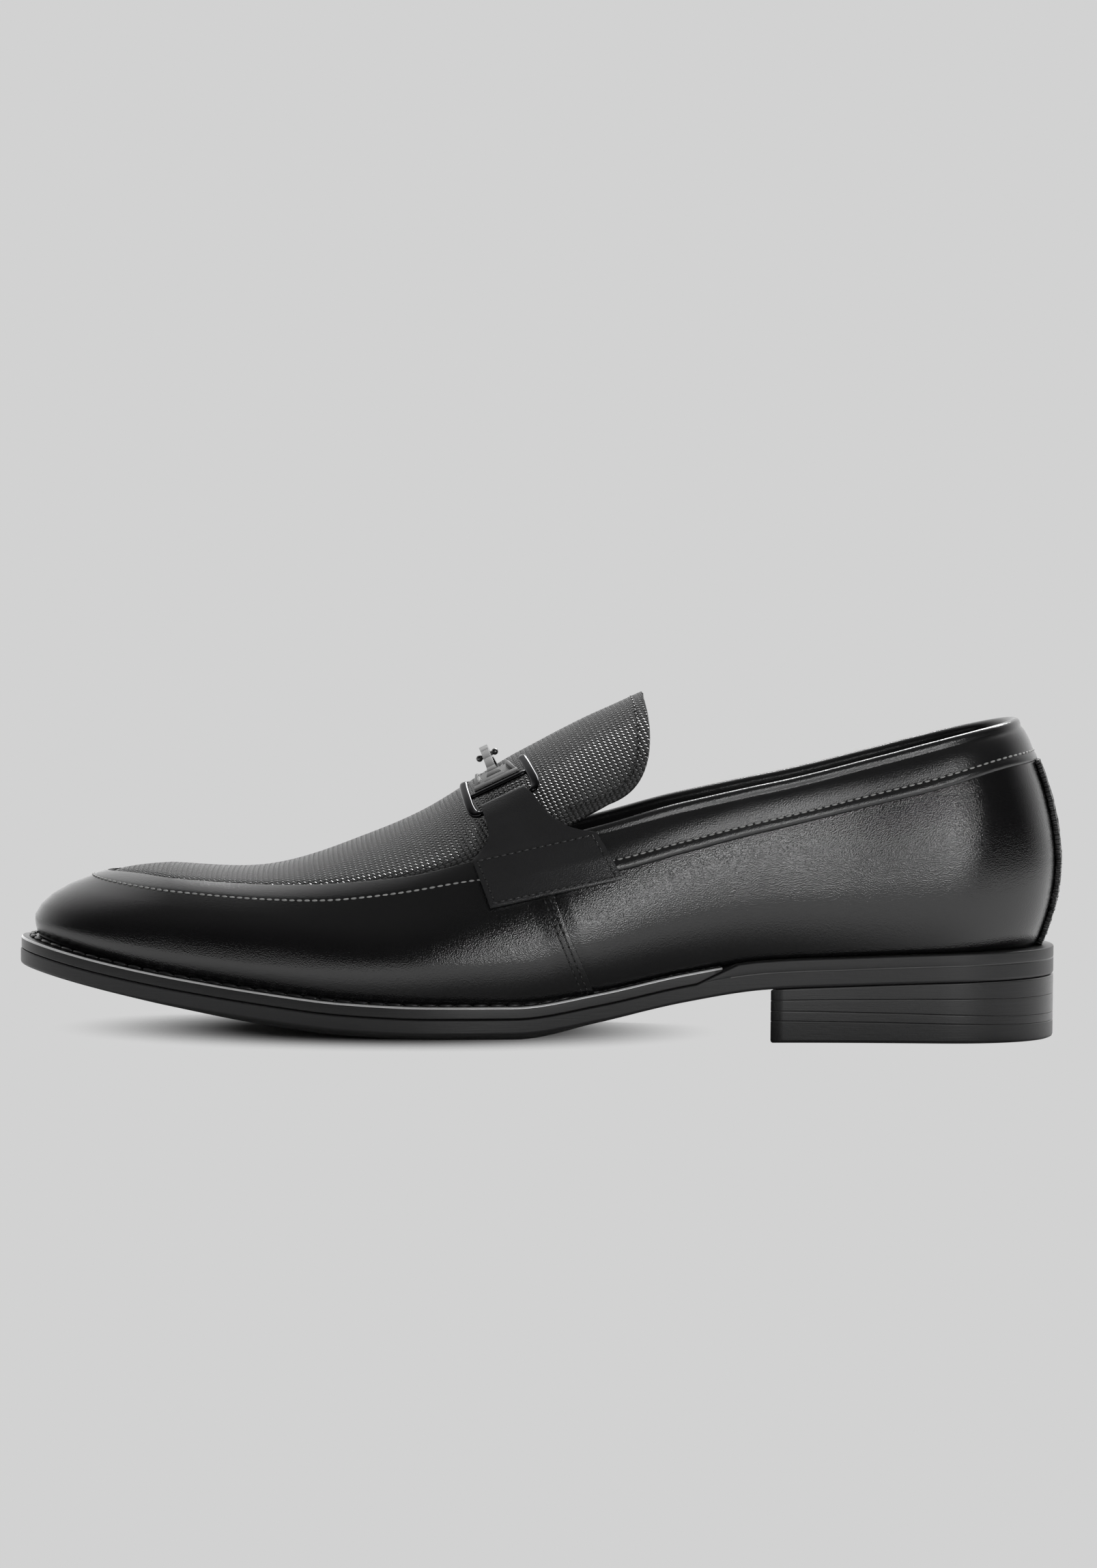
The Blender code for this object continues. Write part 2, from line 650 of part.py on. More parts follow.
class BitSection:
    """The last's cross-section under the bit, with a place for anything laid down one flank."""

    def __init__(self, side):
        lean = math.tan(BIT_SLOPE)
        levels, self.down, self.points = flank_line(side, BIT_FROM_TOE, lean, 1.2)
        self.along = np.array([math.cos(BIT_SLOPE), 0.0, math.sin(BIT_SLOPE)])
        self.side = side
        # The flanks draw in towards the heel, so what lies far down a flank turns in with it.
        span = FRAME_HALF_WIDTH
        x, _, z = self.surface(ROD_DOWN)
        ends = [side_point(side, x + t * self.along[0], z + t * self.along[2])[0] for t in (-span, span)]
        self.turn = (ends[1][1] - ends[0][1]) / (2 * span)

    def surface(self, down):
        return np.array([np.interp(down, self.down, self.points[:, k]) for k in range(3)])

    def at(self, along, down, lift):
        """A point at a distance along the bit, down the flank and off the last."""
        step = 0.004
        run = self.surface(down + step) - self.surface(max(down - step, 0.0))
        if down < step:
            run[1] = (self.surface(down + step) - self.surface(0.0))[1] * 2
            run[0] *= down / step
            run[2] *= down / step
        out = np.cross(self.along, run) * self.side
        out /= np.linalg.norm(out)
        if out[2] < 0:
            out = -out
        along_here = self.along + np.array([0.0, self.turn * min(down / ROD_DOWN, 1.2), 0.0])
        return self.surface(down) + along * along_here / np.linalg.norm(along_here) + lift * out


def swept_bar(path, widths, heights, sideways, steps=8):
    """A solid bar of rounded section along a path, as a mesh. Sideways is its width direction."""
    path = np.asarray(path)
    tangents = np.gradient(path, axis=0)
    tangents /= np.linalg.norm(tangents, axis=1, keepdims=True)
    rings = []
    for point, tangent, width, height, across in zip(path, tangents, widths, heights, sideways):
        up = np.cross(tangent, across)
        up /= np.linalg.norm(up)
        across = np.cross(up, tangent)
        ring = []
        for k in range(steps):
            angle = 2 * math.pi * (k + 0.5) / steps
            ring.append(point + across * width / 2 * math.cos(angle) / math.cos(math.pi / steps)
                        + up * height / 2 * math.sin(angle) / math.cos(math.pi / steps))
        rings.append(ring)
    return rings


def skin(bm, rings):
    """Skins rings of points into the mesh, with a face at each end."""
    rows = [[bm.verts.new(point) for point in ring] for ring in rings]
    count = len(rows[0])
    for low, high in zip(rows, rows[1:]):
        for i in range(count):
            j = (i + 1) % count
            bm.faces.new((low[i], low[j], high[j], high[i]))
    bm.faces.new(rows[0])
    bm.faces.new(rows[-1])


def join(base, tools):
    """Unites the tools with the base and removes them."""
    for tool in tools:
        union = base.modifiers.new("join", "BOOLEAN")
        union.operation = "UNION"
        union.solver = "EXACT"
        union.object = tool
    graph = bpy.context.evaluated_depsgraph_get()
    joined = bpy.data.meshes.new_from_object(base.evaluated_get(graph))
    base.modifiers.clear()
    base.data = joined
    for tool in tools:
        bpy.data.objects.remove(tool)
    return base


def make_bit_frame(name, side, gunmetal):
    """The frame: two arms that curl in under to a rod for the strap, and a cross bar between them."""
    section = BitSection(side)
    half, low = FRAME_HALF_WIDTH, ROD_DOWN
    sides = []
    for sign in (-1, 1):
        sides.append([(sign * half * 0.93, FRAME_TOP, FRAME_LIFT), (sign * half, FRAME_TOP + 0.003, FRAME_LIFT),
                      (sign * half * 1.04, FRAME_CROSSBAR, FRAME_LIFT),
                      (sign * half * 1.06, low - 0.004, FRAME_LIFT),
                      (sign * half * 1.0, low - 0.0014, FRAME_LIFT), (sign * half * 0.9, low - 0.0002, ROD_LIFT),
                      (sign * half * 0.80, low, ROD_LIFT)])
    rod = [(half * t, low, ROD_LIFT) for t in (-0.5, 0.0, 0.5)]
    route = sides[0] + rod + sides[1][::-1]
    path = [section.at(*point) for point in route]
    thin = 2 * ROD_RADIUS
    taper = [1.0, 1.0, 1.0, 1.0, 0.9, 0.45, 0.0]
    share_thick = taper + [0.0] * 3 + taper[::-1]
    widths = [thin + t * (FRAME_BAR_WIDTH - thin) for t in share_thick]
    heights = [thin + t * (FRAME_BAR_HEIGHT - thin) for t in share_thick]
    tangents = np.gradient(np.array(path), axis=0)
    outs = [section.at(a, d, h + 0.001) - section.at(a, d, h) for a, d, h in route]
    across = [np.cross(out, tangent) for out, tangent in zip(outs, tangents)]
    bm = bmesh.new()
    skin(bm, swept_bar(path, widths, heights, across))
    frame = finish(name, bm, gunmetal)
    cross = [section.at(half * t, FRAME_CROSSBAR, FRAME_LIFT) for t in np.linspace(-1.0, 1.0, 5)]
    out = section.at(0, FRAME_CROSSBAR, 0.003) - section.at(0, FRAME_CROSSBAR, 0.002)
    bm = bmesh.new()
    skin(bm, swept_bar(cross, [0.0015] * 5, [0.0013] * 5, [np.cross(out, section.along)] * 5))
    return join(frame, [finish("cross_bar", bm, gunmetal)])


def make_link(metal):
    """The centre link: an end plate on each flank, necks up over the crease line and a knobbed middle."""
    rings = []
    rows = [(LATERAL, *row) for row in LINK] + [(MEDIAL, *row) for row in LINK[::-1]]
    sections = {side: BitSection(side) for side in (LATERAL, MEDIAL)}
    for side, down, half_width, underside, top in rows:
        section = sections[side]
        ease = min(0.0004, half_width / 3)
        corners = ((-half_width, underside), (half_width, underside), (half_width, top - ease),
                   (half_width - ease, top), (-half_width + ease, top), (-half_width, top - ease))
        rings.append([section.at(a, down, h) for a, h in corners])
    bm = bmesh.new()
    skin(bm, rings)
    link = finish("bit_link", bm, metal)
    knobs = []
    section = sections[LATERAL]
    for sign in (-1, 1):
        middle = section.at(sign * KNOB_SPREAD, 0.0, KNOB_LIFT)
        root = section.at(0.0, 0.0, KNOB_LIFT)
        bm = bmesh.new()
        bmesh.ops.create_uvsphere(bm, u_segments=10, v_segments=6, radius=KNOB_RADIUS)
        bmesh.ops.translate(bm, verts=bm.verts, vec=Vector(middle))
        knobs.append(finish("knob", bm, metal))
        bm = bmesh.new()
        stem = [root + t * (middle - root) for t in (0.2, 0.9)]
        skin(bm, swept_bar(stem, [0.0016] * 2, [0.0016] * 2, [np.array([0.0, 1.0, 0.0])] * 2))
        knobs.append(finish("stem", bm, metal))
    return join(link, knobs)


def make_strap(name, side, leather):
    """A strap from its patch on the quarter up over the plug, folded round the bit frame's rod."""
    section = BitSection(side)
    across = np.linspace(-1.0, 1.0, 7)
    bend = ROD_RADIUS + 1.5 * GAP + STRAP_THICKNESS / 2
    rows = []
    for down in (0.0050, 0.0025):
        rows.append([section.at(a * STRAP_LOOP_WIDTH / 2, ROD_DOWN + down, ROD_LIFT - bend) for a in across])
    for angle in np.radians(np.linspace(-90, 90, 8)):
        rows.append([section.at(a * STRAP_LOOP_WIDTH / 2, ROD_DOWN - bend * math.cos(angle),
                                ROD_LIFT + bend * math.sin(angle)) for a in across])
    rod = BitSection(LATERAL).surface(ROD_DOWN)
    sink = rod - section.surface(ROD_DOWN)
    for front, front_height, rear, rear_height, lift, follow in STRAP:
        row = []
        for a in across:
            t = (a + 1) / 2
            x = rod[0] + front + t * (rear - front) - follow * sink[0]
            z = rod[2] + front_height + t * (rear_height - front_height) - follow * sink[2]
            point, out = side_point(side, x, z)
            row.append(point + (lift + STRAP_THICKNESS / 2) * out)
        rows.append(row)
    grid = np.array(rows)
    return sheet(name, grid, STRAP_THICKNESS, leather)


def sheet(name, grid, thickness, finish_material):
    """A closed sheet of even thickness on both sides of a grid of points."""
    out = normals(grid, closed=False)
    skins = []
    bm = bmesh.new()
    for sign in (-0.5, 0.5):
        skins.append([[bm.verts.new(p) for p in row] for row in grid + sign * thickness * out])
    rows, columns = len(grid), len(grid[0])
    for faces in skins:
        for low, high in zip(faces, faces[1:]):
            for i in range(columns - 1):
                bm.faces.new((low[i], low[i + 1], high[i + 1], high[i]))
    a, b = skins
    for j in (0, rows - 1):
        for i in range(columns - 1):
            bm.faces.new((a[j][i], a[j][i + 1], b[j][i + 1], b[j][i]))
    for i in (0, columns - 1):
        for j in range(rows - 1):
            bm.faces.new((a[j][i], a[j + 1][i], b[j + 1][i], b[j][i]))
    return finish(name, bm, finish_material)


def make_backstay(weave):
    """The strip over the heel seam, from the feather line to the collar band."""
    half = BACKSTAY_WIDTH / 2
    stations = np.linspace(0.0, 1.0, 401)
    end = float(np.interp(half, [abs(edge_point(LATERAL, s)[1]) for s in stations], stations))
    columns = [(LATERAL, s) for s in np.linspace(end, 0, 5)] + [(MEDIAL, s) for s in np.linspace(0, end, 5)[1:]]
    rows = []
    for t in np.linspace(0.0, 1.0, 15):
        row = []
        for side, station in columns:
            rib = Rib(side, station)
            top = rib.seam() - 0.006
            low = 0.02
            row.append(rib.at(low + t * (top - low)))
        rows.append(row)
    grid = np.array(rows)
    grid = grid + (GAP + BACKSTAY_THICKNESS / 2) * outward(grid)
    return sheet("backstay", grid, BACKSTAY_THICKNESS, weave)


def outward(grid):
    """Unit normals that point away from the middle of the shoe."""
    out = normals(grid, closed=False)
    if (out[..., 0].mean()) < 0:
        out = -out
    return out


def clear_scene():
    for made in list(bpy.data.objects):
        bpy.data.objects.remove(made)


def centre_over_origin():
    """Moves everything so that the bounding box stands on the floor with its middle over the origin."""
    parts = [made for made in bpy.context.scene.objects if made.type in ("MESH", "CURVE")]
    bpy.context.view_layer.update()
    corners = np.array([made.matrix_world @ Vector(c) for made in parts for c in made.bound_box])
    middle = (corners.min(axis=0) + corners.max(axis=0)) / 2
    for made in parts:
        made.location.x -= middle[0]
        made.location.y -= middle[1]
        made.location.z -= corners[:, 2].min()


def main():
    clear_scene()
    calf = material("black_calf", (0.018, 0.018, 0.019), 0.32)
    weave = material("embossed_leather", (0.030, 0.030, 0.032), 0.38)
    stacked = material("stacked_heel", (0.030, 0.030, 0.031), 0.45)
    rubber = material("sole_rubber", (0.045, 0.045, 0.046), 0.60)
    lining = material("lining", (0.020, 0.019, 0.018), 0.60)
    gunmetal = material("gunmetal", (0.10, 0.10, 0.105), 0.25, 1.0)
    metal = material("brushed_metal", (0.62, 0.61, 0.59), 0.28, 1.0)

    extra = [station_at(SOLE_LENGTH - WELT_END), station_at(SOLE_LENGTH - WELT_END - WELT_RAMP),
             station_at(SOLE_LENGTH - WELT_END - WELT_RAMP * 0.3), station_at(SOLE_LENGTH - HEEL_LENGTH)]
    stations = ring_stations(8, 20, 8, extra)
    make_outsole(stations, rubber)
    make_welt(stations, stacked)
    make_heel(stations, stacked, rubber)
    make_insole(stations, lining)
    make_upper(stations, calf)
    make_plug(stations, weave)
    make_backstay(weave)
    make_strap("saddle_strap_lateral", LATERAL, calf)
    make_strap("saddle_strap_medial", MEDIAL, calf)
    make_bit_frame("bit_frame_lateral", LATERAL, gunmetal)
    make_bit_frame("bit_frame_medial", MEDIAL, gunmetal)
    make_link(metal)
    centre_over_origin()


main()
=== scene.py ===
import functools
import math

import bmesh
import bpy
import numpy as np
from mathutils import Matrix, Vector
from mathutils.bvhtree import BVHTree


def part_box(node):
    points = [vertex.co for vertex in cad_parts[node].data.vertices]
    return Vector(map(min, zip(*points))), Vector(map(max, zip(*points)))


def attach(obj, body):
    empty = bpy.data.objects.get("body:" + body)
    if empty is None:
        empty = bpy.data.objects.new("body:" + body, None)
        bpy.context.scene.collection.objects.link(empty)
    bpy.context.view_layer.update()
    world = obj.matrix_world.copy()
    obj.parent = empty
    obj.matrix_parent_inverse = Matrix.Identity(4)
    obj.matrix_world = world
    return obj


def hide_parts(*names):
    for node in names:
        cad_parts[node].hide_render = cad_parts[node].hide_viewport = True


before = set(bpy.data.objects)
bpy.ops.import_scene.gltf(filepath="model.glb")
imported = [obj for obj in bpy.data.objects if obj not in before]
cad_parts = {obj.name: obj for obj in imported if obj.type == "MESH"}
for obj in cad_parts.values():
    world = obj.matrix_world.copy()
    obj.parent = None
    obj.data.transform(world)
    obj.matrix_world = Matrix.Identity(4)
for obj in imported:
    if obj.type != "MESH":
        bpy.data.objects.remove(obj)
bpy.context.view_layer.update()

# Camera
# A long lens a little above the ankle looks square at the outer side of the shoe, with the toe to the left.
def add_object(name, data):
    made = bpy.data.objects.new(name, data)
    bpy.context.scene.collection.objects.link(made)
    return made


eye, aim = Vector((0.0, -1.60, 0.150)), Vector((0.0, 0.0, 0.05))
lens = bpy.data.cameras.new("camera")
lens.lens, lens.shift_x, lens.shift_y = 124.93, 0.0052, 0.0492
camera = add_object("camera", lens)
facing = (aim - eye).to_track_quat("-Z", "Y").to_matrix() @ Matrix.Rotation(math.radians(0.45), 3, "Z")
camera.matrix_world = Matrix.Translation(eye) @ facing.to_4x4()
bpy.context.scene.camera = camera
bpy.context.scene.view_settings.view_transform = "Standard"


# Floor and light
# A plain pale studio floor that fades into an even pale surround, a long soft light above and behind
# the shoe, and two weak ones in front. The surround is dark in front, so that black leather stays black.
BACKGROUND = 0.6445
TO_BALL, SHADOW_SHAPE, SHADOW_FADE = (0.045, 0.0, 0.0), (0.8, 1.1, 1.0), (0.032, 0.080)


class Tone:
    """A socket among a material's nodes. Sums and products of tones add the Math nodes they need."""

    def __init__(self, tree, socket=None):
        self.tree, self.socket = tree, socket

    def node(self, kind, settings=None, values=None, output=0):
        made = self.tree.nodes.new("ShaderNode" + kind)
        for name, value in (settings or {}).items():
            setattr(made, name, value)
        for name, value in (values or {}).items():
            if isinstance(value, Tone):
                self.tree.links.new(value.socket, made.inputs[name])
            else:
                made.inputs[name].default_value = value
        return Tone(self.tree, made.outputs[output] if made.outputs else None)

    def maths(self, operation, *values):
        return self.node("Math", {"operation": operation}, dict(enumerate((self, *values))))

    def __add__(self, other):
        return self.maths("ADD", other)

    def __mul__(self, other):
        return self.maths("MULTIPLY", other)

    __radd__, __rmul__ = __add__, __mul__

    def __sub__(self, other):
        return self.maths("SUBTRACT", other)

    def __rsub__(self, other):
        return self * -1.0 + other

    def __truediv__(self, other):
        return self.maths("DIVIDE", other)

    def ease(self, low, high):
        """0 below low and 1 above high, or the other way round if low is the larger."""
        sockets = {"Value": self, "From Min": low, "From Max": high}
        return self.node("MapRange", {"interpolation_type": "SMOOTHSTEP"}, sockets)

    def blend(self, low, high):
        """The colour that lies this far from low to high."""
        return self.node("Mix", {"data_type": "RGBA"}, {0: self, 6: low, 7: high}, output=2)

    def noise(self, scale, detail, roughness=0.5):
        return self.node("TexNoise", None, {
            "Vector": self, "Scale": scale, "Detail": detail, "Roughness": roughness})

    def stretched(self, scale, turn=(0.0, 0.0, 0.0)):
        """The place scaled along each axis, so that a noise taken from it runs in streaks."""
        return self.node("Mapping", None, {0: self, "Rotation": turn, "Scale": scale})

    def bump(self, strength, distance, over=None):
        """Bumps with this tone as their height, on top of others if there are any."""
        values = {"Strength": strength, "Distance": distance, "Height": self}
        return self.node("Bump", None, {**values, "Normal": over} if over else values)


def new_material(name):
    """A material without its first nodes, and as a tone the place on the object."""
    made = bpy.data.materials.new(name)
    made.use_nodes = True
    made.node_tree.nodes.clear()
    return made, Tone(made.node_tree).node("TexCoord", output=3)


def surface(made, values):
    """Ends a material in a Principled shader with these socket values."""
    tone = Tone(made.node_tree)
    tone.node("OutputMaterial", None, {"Surface": tone.node("BsdfPrincipled", None, values)})
    return made


def grey(level, blue=None):
    return (level, level, level if blue is None else blue, 1.0)


bm = bmesh.new()
bmesh.ops.create_circle(bm, cap_ends=True, segments=96, radius=3.0)
floor_mesh = bpy.data.meshes.new("floor")
bm.to_mesh(floor_mesh)
bm.free()
floor = add_object("floor", floor_mesh)
# The camera sees the paper only round the ball, where the shadow lies, and beyond it the even surround.
paper, place = new_material("studio_paper")
off_ball = place.node("VectorMath", {"operation": "ADD"}, {0: place, 1: TO_BALL})
off_ball = place.node("VectorMath", {"operation": "MULTIPLY"}, {0: off_ball, 1: SHADOW_SHAPE})
far_off = place.node("VectorMath", {"operation": "LENGTH"}, {0: off_ball}, output=1)
seen = place.node("LightPath", output=0)
faint = far_off.ease(*SHADOW_FADE) * seen
matt = place.node("BsdfDiffuse", None, {"Color": seen.blend(grey(0.86), grey(0.50))})
clear = place.node("BsdfTransparent")
place.node("OutputMaterial", None, {"Surface": place.node("MixShader", None, {0: faint, 1: matt, 2: clear})})
floor_mesh.materials.append(paper)

world = bpy.data.worlds.new("surround")
bpy.context.scene.world = world
world.use_nodes = True
world.node_tree.nodes.clear()
tone = Tone(world.node_tree)
direction = tone.node("TexCoord", output=0)
behind = tone.node("SeparateXYZ", None, {0: direction}, output=1)
above = tone.node("SeparateXYZ", None, {0: direction}, output=2)
glow = behind.ease(-0.1, 0.85) * 1.15 + above.ease(0.35, 0.95) * 0.10 + 0.015
seen = tone.node("LightPath", output=0)
strength = seen * BACKGROUND + (1 - seen) * glow
sky = tone.node("Background", None, {"Color": (1, 1, 1, 1), "Strength": strength})
tone.node("OutputWorld", None, {"Surface": sky})


def soft_light(name, place, target, width, height, power):
    shape = bpy.data.lights.new(name, "AREA")
    shape.shape = "RECTANGLE"
    shape.size, shape.size_y, shape.energy = width, height, power
    turn = (Vector(target) - Vector(place)).to_track_quat("-Z", "Y").to_matrix().to_4x4()
    add_object(name, shape).matrix_world = Matrix.Translation(place) @ turn


soft_light("rear_overhead", (0.36, 0.74, 1.02), (0.02, 0.0, 0.05), 0.96, 0.30, 16.0)
soft_light("front_right", (0.56, -1.26, 0.50), (0.10, 0.0, 0.07), 0.15, 0.13, 1.5)
soft_light("front_low", (0.42, -1.45, 0.22), (0.05, 0.0, 0.05), 0.50, 0.24, 2.2)


# Outsole
# One moulding of dark rubber: forepart, arched waist and full-height heel seat, with a fine line
# round the heel seat where a rand would be. It is cut to the outline of the last. Sizes are in metres.
SOLE_LENGTH, BALL_WIDTH = 0.305, 0.106
TOE_SPRING, HEEL_HEIGHT, TREAD_CROWN = 0.0187, 0.0186, 0.003
UPPER_RISE, BACK_BULGE = 0.082, 0.0056
OUTSOLE_THICKNESS, WELT_THICKNESS, WELT_WIDTH, WELT_SEAT = 0.0045, 0.0034, 0.0054, 0.0075
WELT_END, WELT_RAMP, GAP = 0.094, 0.012, 0.0003
TOE_ROUND, HEEL_ROUND, END_SQUARENESS = 0.052, 0.036, 2.3
STRAIGHT = SOLE_LENGTH - HEEL_ROUND - TOE_ROUND
SPINE_FROM_TOE, SPINE_FROM_HEEL = 0.0445, 0.050
RAND_HEIGHT, RAND_LIP, RAND_DEPTH, SOLE_EDGE = 0.0046, 0.0004, 0.00028, 0.0008
LATERAL, MEDIAL = -1, 1
# Each row starts with its distance from the toe tip, and every value is a share of a size named above.
COLUMNS = ("along", "axis", "lateral", "medial", "overhang", "spring", "crown", "rise",
           "crease", "belly", "lean", "fullness", "seam", "edge")
SECTIONS = (
    (0.00, 0.045, 0.310, 0.330, 1.00, 1.000, 0.0, 0.000, 0.278, 0.060, 0.20, 1.75, 0.2150, 0.231),
    (0.08, 0.040, 0.355, 0.365, 0.98, 0.684, 0.3, 0.000, 0.334, 0.075, 0.30, 1.95, 0.257, 0.292),
    (0.16, 0.030, 0.405, 0.410, 0.95, 0.417, 0.6, 0.000, 0.372, 0.090, 0.40, 2.30, 0.287, 0.329),
    (0.24, 0.020, 0.455, 0.450, 0.90, 0.187, 0.9, 0.000, 0.413, 0.105, 0.45, 2.42, 0.313, 0.360),
    (0.32, 0.010, 0.505, 0.470, 0.85, 0.043, 1.0, 0.000, 0.534, 0.130, 0.50, 1.92, 0.351, 0.405),
    (0.40, 0.000, 0.515, 0.445, 0.80, 0.000, 1.0, 0.000, 0.678, 0.150, 0.55, 1.72, 0.404, 0.457),
    (0.48, 0.000, 0.485, 0.380, 0.65, 0.000, 1.0, 0.000, 0.866, 0.170, 0.65, 1.68, 0.443, 0.537),
    (0.56, 0.000, 0.430, 0.320, 0.45, 0.000, 0.5, 0.274, 0.976, 0.195, 0.80, 1.72, 0.417, 0.578),
    (0.64, 0.000, 0.375, 0.280, 0.40, 0.000, 0.1, 0.618, 1.049, 0.220, 0.85, 1.78, 0.427, 0.598),
    (0.72, 0.000, 0.338, 0.275, 0.45, 0.000, 0.0, 0.828, 1.121, 0.240, 0.80, 1.80, 0.460, 0.621),
    (0.80, 0.000, 0.325, 0.295, 0.55, 0.000, 0.0, 0.887, 1.168, 0.255, 0.70, 1.75, 0.520, 0.680),
    (0.88, 0.000, 0.325, 0.312, 0.65, 0.000, 0.0, 0.941, 1.174, 0.275, 0.70, 1.72, 0.583, 0.742),
    (0.96, 0.000, 0.322, 0.315, 0.90, 0.000, 0.0, 0.984, 1.168, 0.295, 0.90, 1.75, 0.648, 0.788),
    (1.00, 0.000, 0.320, 0.315, 0.96, 0.000, 0.0, 1.000, 1.168, 0.300, 1.00, 1.74, 0.662, 0.806),
)


def clamp(value, low=0.0, high=1.0):
    return min(max(value, low), high)


def unit(vector):
    return vector / np.linalg.norm(vector)


def distances(path):
    """How far along a path of points each of them lies."""
    return np.concatenate([[0.0], np.cumsum(np.linalg.norm(np.diff(path, axis=0), axis=1))])


def natural_spline(knots, values):
    """A function through the values with smooth slope and curvature."""
    knots, values = np.asarray(knots, float), np.asarray(values, float)
    steps = np.diff(knots)
    size = len(knots)
    system, right = np.eye(size), np.zeros(values.shape)
    for i in range(1, size - 1):
        system[i, i - 1:i + 2] = steps[i - 1], 2 * (steps[i - 1] + steps[i]), steps[i]
        right[i] = 6 * ((values[i + 1] - values[i]) / steps[i] - (values[i] - values[i - 1]) / steps[i - 1])
    bend = np.linalg.solve(system, right.reshape(size, -1)).reshape(values.shape)

    def at(x):
        i = int(np.clip(np.searchsorted(knots, x) - 1, 0, size - 2))
        a, b, step = knots[i + 1] - x, x - knots[i], steps[i]
        return ((bend[i] * a ** 3 + bend[i + 1] * b ** 3) / (6 * step)
                + (values[i] / step - bend[i] * step / 6) * a
                + (values[i + 1] / step - bend[i + 1] * step / 6) * b)

    return at


def level_spline(knots, values):
    """A function through the values that never passes them, so that a flat stretch stays flat."""
    knots, values = np.asarray(knots, float), np.asarray(values, float)
    slopes = np.diff(values) / np.diff(knots)
    inner = [2 * a * b / (a + b) if a * b > 0 else 0.0 for a, b in zip(slopes, slopes[1:])]
    tangents = np.array([slopes[0], *inner, slopes[-1]])

    def at(x):
        i = int(np.clip(np.searchsorted(knots, x) - 1, 0, len(knots) - 2))
        step = knots[i + 1] - knots[i]
        t = clamp((x - knots[i]) / step)
        return (values[i] * (1 + 2 * t) * (1 - t) ** 2 + values[i + 1] * t * t * (3 - 2 * t)
                + step * (tangents[i] * t * (1 - t) ** 2 - tangents[i + 1] * t * t * (1 - t)))

    return at


SHARE = {
    name: (level_spline if name in ("spring", "crown", "rise") else natural_spline)(
        [row[0] for row in SECTIONS], [row[i] for row in SECTIONS])
    for i, name in enumerate(COLUMNS)
}


@functools.lru_cache(maxsize=None)
def share(name, x):
    """A column of the section table at a distance x from the toe tip."""
    return float(SHARE[name](clamp(x / SOLE_LENGTH)))


def tread_edge(x):
    """Height of the outsole's underside at its edge."""
    return (TOE_SPRING * share("spring", x) + TREAD_CROWN * share("crown", x)
            + HEEL_HEIGHT * share("rise", x))


def feather(x):
    """Height of the line where the upper meets the welt."""
    return tread_edge(x) + OUTSOLE_THICKNESS + WELT_THICKNESS + 2 * GAP


def axis(x):
    return BALL_WIDTH * share("axis", x)


def crease_height(x):
    return feather(x) + UPPER_RISE * share("crease", x)


# Stations go from 0 at the heel back to 3 at the toe tip: 0 to 1 round the heel, 1 to 2 along the side,
# 2 to 3 round the toe.
def edge_point(side, station):
    """The sole's edge in plan, as distance from the toe tip and across, y."""
    if station < 1:
        angle = station * math.pi / 2
        x = SOLE_LENGTH - HEEL_ROUND * (1 - math.cos(angle) ** (2 / END_SQUARENESS))
        closing = math.sin(angle) ** (2 / END_SQUARENESS)
    elif station <= 2:
        x = SOLE_LENGTH - HEEL_ROUND - (station - 1) * STRAIGHT
        closing = 1.0
    else:
        angle = max(3 - station, 0.0) * math.pi / 2
        x = TOE_ROUND * (1 - math.cos(angle) ** (2 / END_SQUARENESS))
        closing = math.sin(angle) ** (2 / END_SQUARENESS)
    width = BALL_WIDTH * share("lateral" if side == LATERAL else "medial", x)
    return np.array([x, axis(x) + side * width * closing])


def station_at(x):
    """The station along the straight side at a distance x from the toe tip."""
    return 1 + (SOLE_LENGTH - HEEL_ROUND - x) / STRAIGHT


def inset_point(side, station, inset):
    """A point of the sole's edge moved in, square to the edge."""
    step = 0.002
    if station <= step:
        outward = np.array([1.0, 0.0])
    elif station >= 3 - step:
        outward = np.array([-1.0, 0.0])
    else:
        along = edge_point(side, station + step) - edge_point(side, station - step)
        outward = unit(side * np.array([along[1], -along[0]]))
    return edge_point(side, station) - inset * outward


def spine_point(x):
    """The point of the crease line, in plan, that a rib from x runs to."""
    reach = clamp(x, SPINE_FROM_TOE, SOLE_LENGTH - SPINE_FROM_HEEL)
    return np.array([reach, axis(reach)])


sole_low, sole_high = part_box("outsole")
widest = [edge_point(side, 1 + t / 400)[1] for side in (LATERAL, MEDIAL) for t in range(401)]
# From distances along the last to the frame: the toe tip and the long line of the shoe
PLACE = np.array([sole_low[0], (sole_low[1] + sole_high[1] - min(widest) - max(widest)) / 2, 0.0])


def ring_stations(heel_steps, side_steps, toe_steps):
    """Sides and stations once round the shoe and back to the first: heel back, outer side, toe, inner."""
    one_side = sorted({*np.linspace(0, 1, heel_steps + 1), *np.linspace(1, 2, side_steps + 1),
                       *np.linspace(2, 3, toe_steps + 1)})
    return [(LATERAL, s) for s in one_side] + [(MEDIAL, s) for s in one_side[-2::-1]]


def plan_ring(stations, inset, height, off=0.0):
    """A ring inside the sole's edge. The height and, unless it is fixed, the inset are functions of the
    distance from the toe tip."""
    ring = []
    for side, station in stations:
        x = edge_point(side, station)[0]
        point = inset_point(side, station, inset(x) if callable(inset) else inset)
        ring.append((point[0], point[1], height(x) + off))
    return ring


def toward_axis(ring, keep, height):
    """The ring drawn in towards the crease line, keeping that share of its distance."""
    drawn = []
    for x, y, _ in ring:
        centre = spine_point(x)
        point = centre + keep * (np.array([x, y]) - centre)
        drawn.append((point[0], point[1], height(point[0])))
    return drawn


